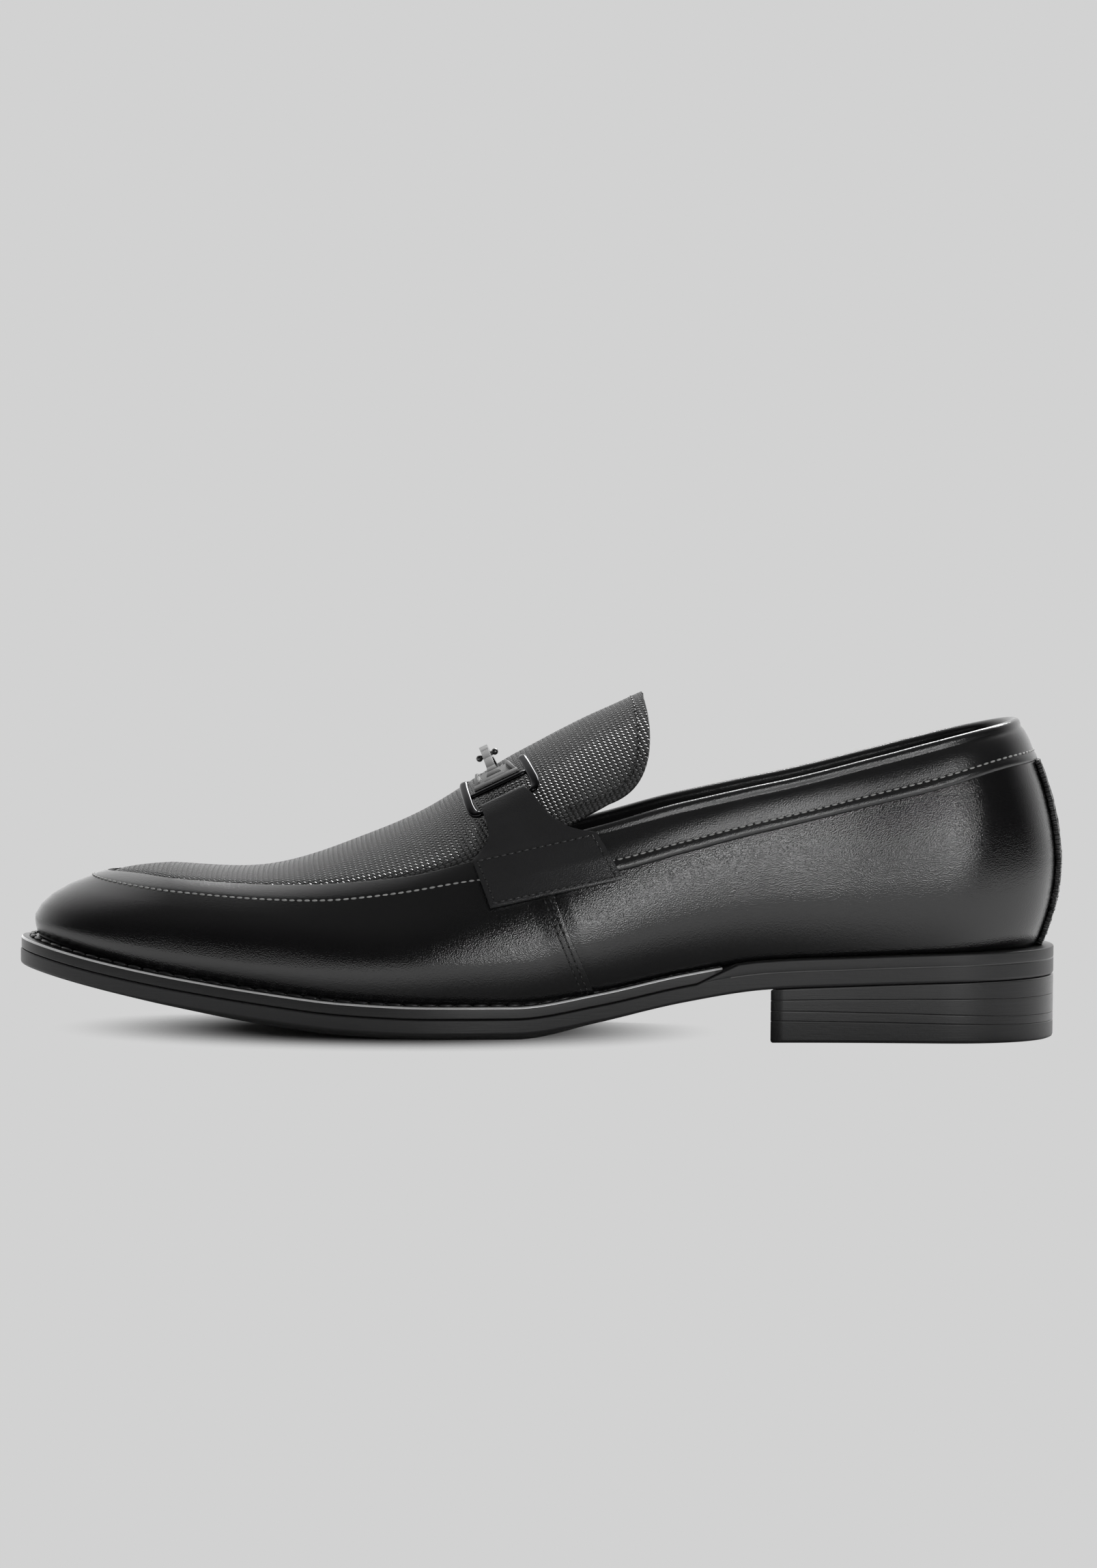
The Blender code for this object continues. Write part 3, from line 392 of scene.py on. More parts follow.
def climb(x):
    """0 where the welt lies on the outsole, 1 round the heel, where the outsole is as high as the welt."""
    return clamp((x - (SOLE_LENGTH - WELT_END - WELT_RAMP)) / WELT_RAMP)


def outsole_shoulder(x):
    """Height of the outsole's top at its edge."""
    low = tread_edge(x) + OUTSOLE_THICKNESS
    return low + climb(x) * (seat(x) - low)


def seat(x):
    """Height that the upper sits on: the top of the welt, and of the outsole inside it."""
    return feather(x) - GAP


def seat_inset(x):
    return WELT_WIDTH * share("overhang", x) + WELT_SEAT


def mesh_object(name, bm, finish, node=None):
    """Makes an object of the mesh, gives it its finish and its body, and hides the node it stands for."""
    mesh = bpy.data.meshes.new(name)
    bm.to_mesh(mesh)
    bm.free()
    mesh.materials.append(finish)
    mesh.shade_smooth()
    made = add_object(name, mesh)
    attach(made, "root")
    if node:
        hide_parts(node)
    return made


def lay(points, closed=False):
    """A sheet through rows of points as a mesh that faces away from the middle of the shoe, with the
    distance along and across it, in metres, as its UV map."""
    points = np.asarray(points, float) + PLACE
    rows, columns = len(points) - 1, len(points[0]) - 1
    along = np.linalg.norm(np.diff(points, axis=1), axis=2).mean(axis=0)
    across = np.linalg.norm(np.diff(points, axis=0), axis=2)
    along = np.concatenate([[0.0], np.cumsum(along)])
    across = np.concatenate([np.zeros((1, columns + 1)), np.cumsum(across, axis=0)])
    run = np.dstack([np.broadcast_to(along, across.shape), across])
    bm = bmesh.new()
    bmesh.ops.create_grid(bm, x_segments=columns, y_segments=rows, size=0.5)
    index = {v: (round((v.co.y + 0.5) * rows), round((v.co.x + 0.5) * columns)) for v in bm.verts}
    layer = bm.loops.layers.uv.new("UVMap")
    for face in bm.faces:
        for loop in face.loops:
            loop[layer].uv = run[index[loop.vert]]
    for vert in bm.verts:
        vert.co = points[index[vert]]
    bmesh.ops.remove_doubles(bm, verts=bm.verts, dist=2e-6)
    bmesh.ops.dissolve_degenerate(bm, edges=bm.edges, dist=1e-6)
    if closed:
        bmesh.ops.recalc_face_normals(bm, faces=bm.faces)
    facing_out = 0.0
    for face in bm.faces:
        middle = face.calc_center_median()
        out = middle - Vector((middle.x * 0.8, PLACE[1], 0.03))
        facing_out += face.normal.dot(out) * face.calc_area()
    if facing_out < 0:
        bmesh.ops.reverse_faces(bm, faces=bm.faces)
    return bm


def rubber_finish():
    made, place = new_material("sole_rubber_finish")
    lines = place.stretched((120.0, 120.0, 2600.0)).noise(1.0, 3.0)
    broad = place.noise(22.0, 2.0)
    bump = (place.noise(900.0, 4.0) * 0.5 + lines * 0.5).bump(0.30, 0.0002)
    colour = (broad * 0.6 + lines * 0.4).blend(grey(0.026, 0.027), grey(0.044, 0.045))
    return surface(made, {"Base Color": colour, "Roughness": broad * 0.14 + 0.36, "Normal": bump,
                          "Specular IOR Level": 0.5})


def crown(drop):
    """The underside's height where the tread has fallen by this share of its crown."""
    return lambda x: tread_edge(x) - drop * TREAD_CROWN * share("crown", x)


def wall_top(x):
    """Height where the side of the outsole starts to round over."""
    return outsole_shoulder(x) - 0.0004


def lip(x, rise):
    """Height of a point of the rand's groove, this far above the groove's lower edge."""
    return min(tread_edge(x) + RAND_HEIGHT + rise, wall_top(x) - 0.0002 + rise * 0.2)


rubber = rubber_finish()
around = ring_stations(32, 90, 40)
bottom = plan_ring(around, SOLE_EDGE, tread_edge)
outsole_rows = [toward_axis(bottom, keep, crown(1 - max(keep - 0.55, 0.0) ** 2 / 0.45 ** 2))
                for keep in (0.0, 0.15, 0.3, 0.45, 0.55, 0.65, 0.75, 0.85, 0.93)] + [bottom]
for a in (0.5, 1.0, 1.57):
    outsole_rows.append(plan_ring(around, SOLE_EDGE * (1 - math.sin(a)), tread_edge,
                                  SOLE_EDGE * (1 - math.cos(a))))
for t in (0.04, 0.35, 0.7, 0.95, 1.0):
    outsole_rows.append(plan_ring(around, 0.0, lambda x: tread_edge(x) + SOLE_EDGE
                                  + t * (lip(x, 0.0) - tread_edge(x) - SOLE_EDGE)))
outsole_rows += [plan_ring(around, lambda x: RAND_DEPTH * climb(x), lambda x: lip(x, 0.00018)),
                 plan_ring(around, lambda x: 0.00004 * climb(x), lambda x: lip(x, RAND_LIP))]
for t in (0.06, 0.5, 0.96):
    outsole_rows.append(plan_ring(around, 0.0, lambda x: lip(x, RAND_LIP)
                                  + t * (wall_top(x) - lip(x, RAND_LIP))))
plateau = plan_ring(around, lambda x: seat_inset(x) + GAP, seat)
outsole_rows += [plan_ring(around, 0.0, wall_top), plan_ring(around, 0.00012, wall_top, 0.00028),
                 plan_ring(around, 0.0005, outsole_shoulder),
                 plan_ring(around, seat_inset, outsole_shoulder), plateau, toward_axis(plateau, 0.0, seat)]
bm = lay(outsole_rows, closed=True)
# Faces in the groove round the heel seat take the second finish, the same painted pale highlight as the
# lifts' joints.
for face in bm.faces:
    centre = face.calc_center_median()
    x = centre.x - PLACE[0]
    face.material_index = int(climb(x) > 0.9 and 0.00002 < centre.z - lip(x, 0.0) < 0.00038)
outsole = mesh_object("outsole_moulding", bm, rubber, "outsole")


# Welt
# A strip of black leather from one side of the waist round the toe to the other, sewn to the outsole
# with thick waxed thread. Each stitch lies in a groove on top and dips into its hole.
WELT_STITCH, WELT_STITCH_INSET = 0.0049, 0.0034


def edge_leather(name, dark, pale, gloss=0.26, coat=0.15):
    """Leather cut across its grain, blackened and polished, with fine lines along it."""
    made, place = new_material(name)
    lines = place.stretched((60.0, 60.0, 3200.0)).noise(1.0, 5.0, 0.7)
    bump = (lines * 0.7 + place.noise(1500.0, 2.0) * 0.3).bump(0.35, 0.00015)
    colour = (lines * 0.5 + place.noise(30.0, 3.0) * 0.5).ease(0.3, 0.7).blend(dark, pale)
    return surface(made, {"Base Color": colour, "Roughness": lines * 0.2 + gloss, "Normal": bump,
                          "Coat Weight": coat, "Coat Roughness": gloss - 0.01})


stack_leather = edge_leather("edge_leather_finish", grey(0.012, 0.0125), grey(0.030, 0.031))
welt_end = station_at(SOLE_LENGTH - WELT_END - WELT_RAMP * 0.3)
welt_round = [(side, s) for side, s in around if s >= welt_end]
welt_inner, welt_foot = lambda x: seat_inset(x) - GAP, GAP * 0.3
# Once round the strip's section: inset, the surface it is measured from, and the height above that.
welt_rows = [plan_ring(welt_round, inset, height, off) for inset, height, off in (
    (0.0005, outsole_shoulder, welt_foot), (0.0002, outsole_shoulder, welt_foot + 0.0003),
    (0.0002, outsole_shoulder, welt_foot + 0.0005), (0.0002, seat, -0.0006), (0.00022, seat, -0.00042),
    (0.00034, seat, -0.00022), (0.0006, seat, -0.00004), (0.0009, seat, 0.0),
    (WELT_STITCH_INSET - 0.0010, seat, 0.0), (WELT_STITCH_INSET, seat, -0.0005),
    (WELT_STITCH_INSET + 0.0010, seat, 0.0), (welt_inner, seat, 0.0),
    (welt_inner, outsole_shoulder, welt_foot), (0.0005, outsole_shoulder, welt_foot))]
bm = lay(welt_rows, closed=True)
bmesh.ops.holes_fill(bm, edges=[e for e in bm.edges if e.is_boundary], sides=0)
# Faces of the rounded top outer corner take the second finish, a painted highlight.
for face in bm.faces:
    centre = face.calc_center_median()
    drop = seat(centre.x - PLACE[0]) - centre.z
    face.material_index = int(0.00001 < drop < 0.0007 and 0.03 < face.normal.z < 0.999)
welt_leather = edge_leather("welt_edge_finish", grey(0.005, 0.0052), grey(0.016, 0.0165))
welt = mesh_object("welt_strip", bm, welt_leather, "welt")
# The edge's rounded top corner is painted near white: a painted highlight, the bright line along the welt.
welt.data.materials.append(edge_leather("welt_edge_painted_highlight", grey(0.80), grey(0.97), 0.12, 1.0))


def thread_finish(name, level, blue, roughness):
    made, place = new_material(name)
    twist = place.noise(2600.0, 3.0)
    shade = twist.blend(grey(level * 0.6, blue * 0.6), grey(level, blue))
    return surface(made, {"Base Color": shade, "Roughness": twist * 0.2 + roughness,
                          "Normal": twist.bump(0.4, 0.0001), "Specular IOR Level": 0.9})


thread = thread_finish("black_thread", 0.026, 0.027, 0.22)
pale_thread = thread_finish("pale_thread", 0.50, 0.49, 0.35)
# Near black and matt: the painted shade of a needle hole.
needle_hole_shade = thread_finish("needle_hole_shade", 0.002, 0.002, 0.9)


def sew(name, path, outs, pitch, width=0.00056, height=None, fill=0.74, rise=0.00010,
        hole=0.00042, yarn=thread):
    """A row of stitches along a path, joined in one mesh, with a dark sunk blob of painted shade at the
    needle hole between each two. Fill is the share of the pitch that a stitch takes up, and rise its
    middle's height over the leather."""
    path, outs = np.asarray(path, float), np.asarray(outs, float)
    run = distances(path)

    def on_path(s, rows=path):
        return Vector([np.interp(s, run, rows[:, i]) for i in range(3)])

    count = max(int(run[-1] / pitch), 1)
    bm = bmesh.new()
    for k in range(count + 1):
        for s, stitch in (((k + 0.5) * run[-1] / count, True), (k * run[-1] / count, False)):
            if s > run[-1] + 1e-9:
                continue
            out = on_path(s, outs).normalized()
            along = (on_path(min(s + 1e-4, run[-1])) - on_path(max(s - 1e-4, 0.0))).normalized()
            across = out.cross(along).normalized()
            out = along.cross(across)
            if stitch:
                size = (pitch * fill / 2, width / 2, (height or width) / 2)
                made = bmesh.ops.create_icosphere(bm, subdivisions=2, radius=1.0)["verts"]
                lift = rise
            else:
                # Each needle hole is a near-black flattened ball sunk into the leather: painted shade where
                # the hole is.
                size = (hole, hole, hole * 0.6)
                made = bmesh.ops.create_icosphere(bm, subdivisions=1, radius=1.0)["verts"]
                lift = -hole * 0.35
                for face in {f for v in made for f in v.link_faces}:
                    face.material_index = 1
            turn = Matrix((along, across, out)).transposed().to_4x4() @ Matrix.Diagonal((*size, 1.0))
            middle = Matrix.Translation(on_path(s) + out * lift + Vector(PLACE))
            bmesh.ops.transform(bm, matrix=middle @ turn, verts=made)
    made = mesh_object(name, bm, yarn)
    made.data.materials.append(needle_hole_shade)
    return made


welt_path = plan_ring(welt_round, WELT_STITCH_INSET, seat, -0.0001)
sew("welt_stitches", welt_path, [(0, 0, 1)] * len(welt_path), WELT_STITCH, 0.0018, 0.0010,
    fill=0.96, rise=0.0003, hole=0.0005)


# Heel
# Three lifts of stacked leather over a rubber top lift, trimmed flush with the sole, blackened and
# burnished so that the joints between the lifts only just show, each as a fine pale line of painted
# highlight.
HEEL_LENGTH, BREAST_HOLLOW, BREAST_SLANT = 0.0846, 0.003, 0.0035
# Each lift's top as a share of the heel's height, at the breast and at the back
LIFTS = (("top_lift", 0.41, 0.27), ("heel_lift_1", 0.60, 0.40), ("heel_lift_2", 0.80, 0.70),
         ("heel_lift_3", 1.00, 1.00))
breast = SOLE_LENGTH - HEEL_LENGTH
heel_outline = [edge_point(MEDIAL, s) for s in np.linspace(station_at(breast + BREAST_SLANT), 0, 70)]
heel_outline += [edge_point(LATERAL, s) for s in np.linspace(0, station_at(breast), 70)[1:]]
first, last = heel_outline[-1], heel_outline[0]
heel_outline += [first + t * (last - first) + np.array([4 * t * (1 - t) * BREAST_HOLLOW, 0])
                 for t in np.linspace(0, 1, 33)[1:]]
heel_middle = np.array([SOLE_LENGTH - HEEL_LENGTH / 2, 0.0])


def heel_ring(keep_in, height):
    """A ring of the heel's outline drawn in by a distance, at a height that follows the sole."""
    ring = []
    for point in heel_outline:
        inward = heel_middle - point
        drawn = point + unit(inward) * min(keep_in, np.linalg.norm(inward))
        ring.append((drawn[0], drawn[1], height(point[0])))
    return ring


def heel_height(x, shares, off):
    """A height between the floor and the seat, from its shares at the breast and at the back."""
    t = (x - breast) / HEEL_LENGTH
    return (tread_edge(x) - GAP) * (shares[0] + t * (shares[1] - shares[0])) + off


joint_highlight = edge_leather("joint_highlight_finish", grey(0.06), grey(0.13))
outsole.data.materials.append(joint_highlight)
under = (0.0, 0.0)
for name, *above in LIFTS:
    is_floor_lift = name == "top_lift"
    ease, start, end = (0.0008, 0.0, GAP * 0.3) if is_floor_lift else (0.00006, GAP * 0.55, GAP * 0.3)
    rows = [heel_ring(keep_in, lambda x: heel_height(x, shares, off)) for keep_in, shares, off in (
        (ease, under, start), (ease * 0.3, under, start + ease * 0.3), (0.0, under, start + ease),
        (0.0, under, start + ease + 0.00015), (0.0, above, end - 0.00040), (0.0, above, end - 0.00022),
        (0.00010, above, end))]
    rows = [heel_ring(1.0, lambda x: heel_height(heel_middle[0], under, start)), *rows,
            heel_ring(1.0, lambda x: heel_height(heel_middle[0], above, end))]
    bm = lay(rows, closed=True)
    # The rounded top edge of each lift is painted pale: a fine line of painted highlight at the joint.
    for face in bm.faces:
        centre = face.calc_center_median()
        drop = heel_height(centre.x - PLACE[0], above, end) - centre.z
        face.material_index = int(0.00003 < drop < 0.00018 and face.normal.z < 0.9)
    lift = mesh_object(name + "_trimmed", bm, rubber if is_floor_lift else stack_leather,
                       name)
    lift.data.materials.append(joint_highlight)
    under = above


# Insole
# A thin leather sock over the footbed, black, with a faint grain and a slight dish along the middle.
WALL, SOCK_HEIGHT, SOCK_DISH = 0.0022, 0.0025, 0.0006


def lining_leather():
    made, place = new_material("lining_finish")
    grain, soft = place.node("TexVoronoi", None, {"Vector": place, "Scale": 900.0}), place.noise(40.0, 3.0)
    return surface(made, {"Base Color": soft.blend(grey(0.012), (0.022, 0.021, 0.020, 1)),
                          "Roughness": soft * 0.15 + 0.42,
                          "Normal": (grain * 0.6 + soft * 0.4).bump(0.25, 0.00012)})


def thicken(made, thickness, offset=-1.0):
    """Gives a sheet its thickness, inwards from the surface or, at offset 0, to both sides of it."""
    thick = made.modifiers.new("thickness", "SOLIDIFY")
    thick.thickness, thick.offset = thickness, offset
    return thick


lining = lining_leather()
sock_inset = lambda x: WELT_WIDTH * share("overhang", x) + WALL + 2 * GAP
sock_ring = plan_ring(around, sock_inset, feather, SOCK_HEIGHT)
sock_rows = [sock_ring]
for keep in (0.94, 0.85, 0.7, 0.5, 0.25, 0.0):
    dish = SOCK_DISH * (1 - keep ** 2)
    sock_rows.append(toward_axis(sock_ring, keep, lambda x: feather(x) + SOCK_HEIGHT - dish))
bm = lay(sock_rows)
if sum(face.normal.z * face.calc_area() for face in bm.faces) < 0:
    bmesh.ops.reverse_faces(bm, faces=bm.faces)
thicken(mesh_object("sock", bm, lining, "insole"), 0.0018)


# Quarters
# Two pieces of smooth black calf joined at the heel back, lasted over the heel and waist, with their
# front edges under the vamp.
class Rib:
    """One line of the last, from the feather line up to the crease line. Level 0 is the feather line, 1 the
    widest line and 2 the crease line."""

    def __init__(self, side, station):
        nominal = edge_point(side, station)[0]
        self.x = nominal
        self.base = inset_point(side, station, WELT_WIDTH * share("overhang", nominal))
        self.top = spine_point(nominal)
        inward = self.top - self.base
        self.length = float(np.linalg.norm(inward))
        self.inward = inward / self.length
        self.foot = feather(nominal)
        self.belly = self.foot + UPPER_RISE * share("belly", nominal)
        self.lean = BACK_BULGE * share("lean", nominal)
        self.height = crease_height(self.top[0]) - self.belly
        self.fullness = share("fullness", nominal)

    def at(self, level):
        if level <= 1:
            z = self.foot + level * (self.belly - self.foot)
            out = self.lean * (1 - (1 - level) ** 2)
        else:
            angle = (level - 1) * math.pi / 2
            z = self.belly + self.height * math.sin(angle) ** (2 / self.fullness)
            reach = 1 - max(math.cos(angle), 0.0) ** (2 / self.fullness)
            out = self.lean - (self.length + self.lean) * reach
        plan = self.base - out * self.inward
        return np.array([plan[0], plan[1], z])

    def level_of(self, z):
        """The level at which the rib is z above the floor."""
        if z <= self.belly:
            return (z - self.foot) / (self.belly - self.foot)
        rise = min((z - self.belly) / self.height, 1.0)
        return 1 + math.asin(rise ** (self.fullness / 2)) * 2 / math.pi

    def seam(self):
        return self.level_of(self.foot + UPPER_RISE * share("seam", self.x))

    def edge(self):
        return self.level_of(self.foot + UPPER_RISE * share("edge", self.x))

    def past_edge(self, distance):
        """The level that lies the distance beyond the upper's edge, up the rib."""
        edge, step = self.edge(), 0.01
        pace = np.linalg.norm(self.at(edge + step) - self.at(edge)) / step
        return edge + distance / pace


@functools.lru_cache(maxsize=None)
def rib(side, station):
    return Rib(side, station)


def normals(grid, closed):
    """Outward unit normals of rows of points that go up the last and round it."""
    grid = np.asarray(grid, float)
    up = np.gradient(grid, axis=0)
    if closed:
        once = grid[:, :-1]
        along = np.roll(once, -1, axis=1) - np.roll(once, 1, axis=1)
        along = np.concatenate([along, along[:, :1]], axis=1)
    else:
        along = np.gradient(grid, axis=1)
    out = np.cross(up, along)
    return out / np.maximum(np.linalg.norm(out, axis=2, keepdims=True), 1e-12)


def calf_finish(name, grain_depth, painted_sheen=1.0, gloss=0.13):
    """Smooth black calf: fine grain, soft gloss, faint creases and a little unevenness in the polish."""
    made, place = new_material(name)
    grain = place.node("TexVoronoi", {"feature": "SMOOTH_F1"},
                       {"Vector": place, "Scale": 2900.0, "Smoothness": 0.3})
    near = (grain * 0.6 + place.noise(1500.0, 3.0) * 0.4).bump(1.0, grain_depth)
    polish = place.noise(60.0, 4.0)
    # A painted_sheen above 1 lightens the whole colour: a lighter copy of the calf, painted to stand in for
    # the soft reflection it shows.
    dark, pale = (grey(painted_sheen * level, painted_sheen * (level + 0.0004)) for level in (0.006, 0.010))
    return surface(made, {"Base Color": polish.blend(dark, pale), "Roughness": polish * 0.10 + gloss,
                          "Normal": place.noise(14.0, 1.0).bump(0.4, 0.0004, over=near),
                          "Specular IOR Level": 0.85})


calf = calf_finish("calf_finish", 0.000075)
SEAM_TOP, SEAM_FOOT = 0.1571, 0.1685
SEAM_TOP_HEIGHT, SEAM_DROP = 0.046, 0.028
UNDERLAP, UNDERLAP_SINK, UNDERLAP_EASE = 0.008, 0.0003, 0.001


def seam_at(side, share_up, forward=0.0):
    """Station and level of the vamp's rear edge at a share of the way from feather line to edge. It leans
    back as it goes down."""
    station = station_at(SEAM_TOP)
    for _ in range(5):
        here = rib(side, round(station, 5))
        level_here = share_up * here.edge()
        fallen = (SEAM_TOP_HEIGHT - here.at(level_here)[2]) / SEAM_DROP
        station = station_at(SEAM_TOP + fallen * (SEAM_FOOT - SEAM_TOP)) + forward / STRAIGHT
    return station, level_here


quarter_rows, quarter_sinks = [], []
for up in [*np.linspace(0.0, 0.5, 12)[:-1], *np.linspace(0.5, 1.0, 16)]:
    front = {side: seam_at(side, up, forward=UNDERLAP)[0] for side in (LATERAL, MEDIAL)}
    row, sink = [], []
    for t in np.linspace(-1, 1, 361):
        side = LATERAL if t < 0 else MEDIAL
        s = abs(t) * front[side]
        here = rib(side, round(s, 5))
        row.append(here.at(up * here.edge()))
        under = (s - front[side]) * STRAIGHT + UNDERLAP
        sink.append(UNDERLAP_SINK * clamp(under / UNDERLAP_EASE + 1))
    quarter_rows.append(row)
    quarter_sinks.append(sink)
quarter_grid = np.array(quarter_rows)
quarter_grid = quarter_grid + np.array(quarter_sinks)[..., None] * normals(quarter_grid, False)
thicken(mesh_object("quarters", lay(quarter_grid), calf, "upper"), 0.0012)


# Vamp
# One piece of calf lasted round the toe, its top edge turned in and stitched down along the plug, its
# rear edges sewn over the quarters with two rows.
SEWN_SHARE, SEWN_ROW = 0.55, 12
VAMP_LIFT, VAMP_REAR_LIFT, VAMP_REAR_RAMP = 0.0001, 0.0006, 0.007
APRON_PLUMP, APRON_PINCH = 0.00010, 0.00012


def vamp_level(up, sewn, edge):
    """Rows meet the stitch line part of the way up, at the sewn level, and the turned edge at the top."""
    if up < SEWN_SHARE:
        return up / SEWN_SHARE * sewn
    return sewn + (up - SEWN_SHARE) / (1 - SEWN_SHARE) * (edge - sewn)


def round_edges(made, name, width, segments):
    rounding = made.modifiers.new(name, "BEVEL")
    rounding.width, rounding.segments = width, segments
    rounding.limit_method, rounding.angle_limit = "ANGLE", 1.0


vamp_rows, vamp_lifts = [], []
for up in [*np.linspace(0.0, SEWN_SHARE, SEWN_ROW + 1)[:-1], *np.linspace(SEWN_SHARE, 1.0, 22)]:
    rear = {}
    for side in (LATERAL, MEDIAL):
        last = rib(side, round(station_at(SEAM_TOP), 5))
        rear[side] = seam_at(side, vamp_level(up, last.seam() / last.edge(), 1.0))[0]
    above = (up - SEWN_SHARE) / (1 - SEWN_SHARE)
    plump = APRON_PLUMP * math.sin(math.pi * min(above, 1.0)) ** 0.7 if above > 0 else 0.0
    pinch = APRON_PINCH * math.exp(-(above / 0.10) ** 2)
    row, lift = [], []
    for t in np.linspace(-1, 1, 461):
        side = LATERAL if t < 0 else MEDIAL
        s = 3 - abs(t) * (3 - rear[side])
        here = rib(side, round(s, 5))
        row.append(here.at(vamp_level(up, here.seam(), here.edge())))
        rear_lift = VAMP_REAR_LIFT * max(1 - (s - rear[side]) * STRAIGHT / VAMP_REAR_RAMP, 0.0)
        lift.append(VAMP_LIFT + rear_lift + plump - pinch)
    vamp_rows.append(row)
    vamp_lifts.append(lift)
vamp_grid = np.array(vamp_rows)
vamp_out = normals(vamp_grid, False)
vamp_grid = vamp_grid + np.array(vamp_lifts)[..., None] * vamp_out
vamp = mesh_object("vamp", lay(vamp_grid), calf, "upper")
thicken(vamp, 0.0020)
round_edges(vamp, "turned_edge", 0.0005, 3)

sew("apron_stitches", vamp_grid[SEWN_ROW], vamp_out[SEWN_ROW], 0.0023, yarn=pale_thread)
for off, name in ((0.0017, "rear"), (0.0034, "front")):
    for side, label in ((LATERAL, "outer"), (MEDIAL, "inner")):
        path, outs = [], []
        for up in np.linspace(0.03, 0.92, 44):
            s, level = seam_at(side, up, forward=off)
            here = rib(side, round(s, 5))
            ahead, behind = rib(side, round(s + 0.004, 5)), rib(side, round(s - 0.004, 5))
            rise = here.at(level + 0.01) - here.at(level - 0.01)
            out = unit(np.cross(rise, behind.at(level) - ahead.at(level)))
            out = out if out[1] * side > 0 else -out
            path.append(here.at(level) + (VAMP_LIFT + VAMP_REAR_LIFT * (1 - off / VAMP_REAR_RAMP)) * out)
            outs.append(out)
        sew(f"seam_stitches_{name}_{label}", path, outs, 0.00215, hole=0.00052)


# Collar band
# A folded strip of calf round the topline, sewn down along its lower edge, with the top rolled over the
# edge of the quarters to meet the lining.
BAND_FRONT, BAND_STITCHES = 0.160, 0.200
# Share of the way from the upper's seam to its edge, and lift off the last in millimetres
BAND_PROFILE = (
    (-0.015, 0.02), (-0.030, 0.35), (-0.020, 0.70), (0.015, 0.98), (0.065, 1.10), (0.120, 1.06),
    (0.165, 0.94), (BAND_STITCHES, 0.88), (0.240, 0.90), (0.310, 0.98), (0.420, 1.08), (0.540, 1.10),
    (0.650, 1.02), (0.730, 0.86), (0.780, 0.66), (0.815, 0.74), (0.860, 1.00), (0.915, 1.12),
    (0.965, 0.98), (1.005, 0.55), (1.022, -0.05), (1.020, -0.75), (1.000, -1.40), (0.960, -1.90),
    (0.900, -2.15), (0.800, -2.25), (0.620, -2.28),
)
band_stations = [(LATERAL, s) for s in np.linspace(station_at(BAND_FRONT), 1, 90)[:-1]]
band_stations += [(LATERAL, s) for s in np.linspace(1, 0, 70)]
band_stations += [(-side, s) for side, s in band_stations[-2::-1]]


def on_upper(stations, profile):
    """Rows on the upper between its seam and its edge: each has a share of the way up and a lift in mm."""
    grid, out = [], []
    for side, station in stations:
        here = rib(side, station)
        sewn, edge = here.seam(), here.edge()
        before, after = (rib(side, clamp(station + step, 0.0, 3.0)) for step in (-0.004, 0.004))
        column, column_out = [], []
        for up, lift in profile:
            level = sewn + up * (edge - sewn)
            across = after.at(level) - before.at(level) if station >= 0.004 else np.array([0.0, 1.0, 0.0])
            normal = unit(np.cross(here.at(level + 0.01) - here.at(level - 0.01), across))
            if normal @ np.append(here.inward, 0.0) > 0:
                normal = -normal
            column.append(here.at(level) + 0.001 * lift * normal)
            column_out.append(normal)
        grid.append(column)
        out.append(column_out)
    return np.array(grid).transpose(1, 0, 2), np.array(out).transpose(1, 0, 2)


band_grid, band_out = on_upper(band_stations, BAND_PROFILE)
# The band is a lighter copy of the calf: painted sheen for the soft grey reflection along the collar.
band_calf = calf_finish("band_calf_painted_sheen_finish", 0.000060, 1.5, 0.20)
mesh_object("collar_band", lay(band_grid), band_calf, "upper")
stitched = [up for up, _ in BAND_PROFILE].index(BAND_STITCHES)
sew("collar_stitches", band_grid[stitched], band_out[stitched], 0.0023, yarn=pale_thread)


# Lining
# Black leather inside the whole upper, sewn under the rolled topline.
LINING_DEPTH, LINING_THICKNESS = 0.00175, 0.00045
lining_grid = np.array([[rib(side, s).at(up * rib(side, s).edge()) for side, s in around]
                        for up in (*np.linspace(0.02, 0.7, 12), 0.8, 0.9, 0.96)])
lining_grid = lining_grid - LINING_DEPTH * normals(lining_grid, True)
thicken(mesh_object("lining_leather", lay(lining_grid), lining, "upper"), LINING_THICKNESS)


# Plug and tongue
# One piece of calf embossed all over with small interlocking scales. Its edge is sewn under the apron,
# and it runs on past the throat as a free tongue with a row of stitches inside its edge.
THROAT, TONGUE_FREE, TONGUE_TIP, TONGUE_SIDE, TONGUE_ROUNDNESS = 0.1525, 0.1615, 0.1826, 0.0445, 2.2
PLUG_THICKNESS, PLUG_DROP, PLUG_CLEARANCE = 0.0011, 0.0004, 0.0014
PLUG_UNDERLAP, PLUG_CLEARS = 0.0020, 0.120
PLUG_DIP, DIP_FROM, DIP_OVER, DIP_REAR, DIP_RAMP = 0.0013, 0.0015, 0.0050, 0.128, 0.016
SCALE_PITCH, HEM = 0.00148, 0.003


def crease_slope(x):
    """Angle of the crease line over the floor."""
    step = 0.004
    return math.atan2(crease_height(x + step) - crease_height(x - step), 2 * step)


def flank_point(side, x, level, lean):
    """A point of the last on the section that leans back from x on the crease line by the given slope."""
    top = crease_height(x)
    z = top
    for _ in range(6):
        reach = x + (top - z) * lean
        point = rib(side, round(station_at(reach), 6)).at(level)
        z = point[2]
    return np.array([reach, point[1], point[2]])


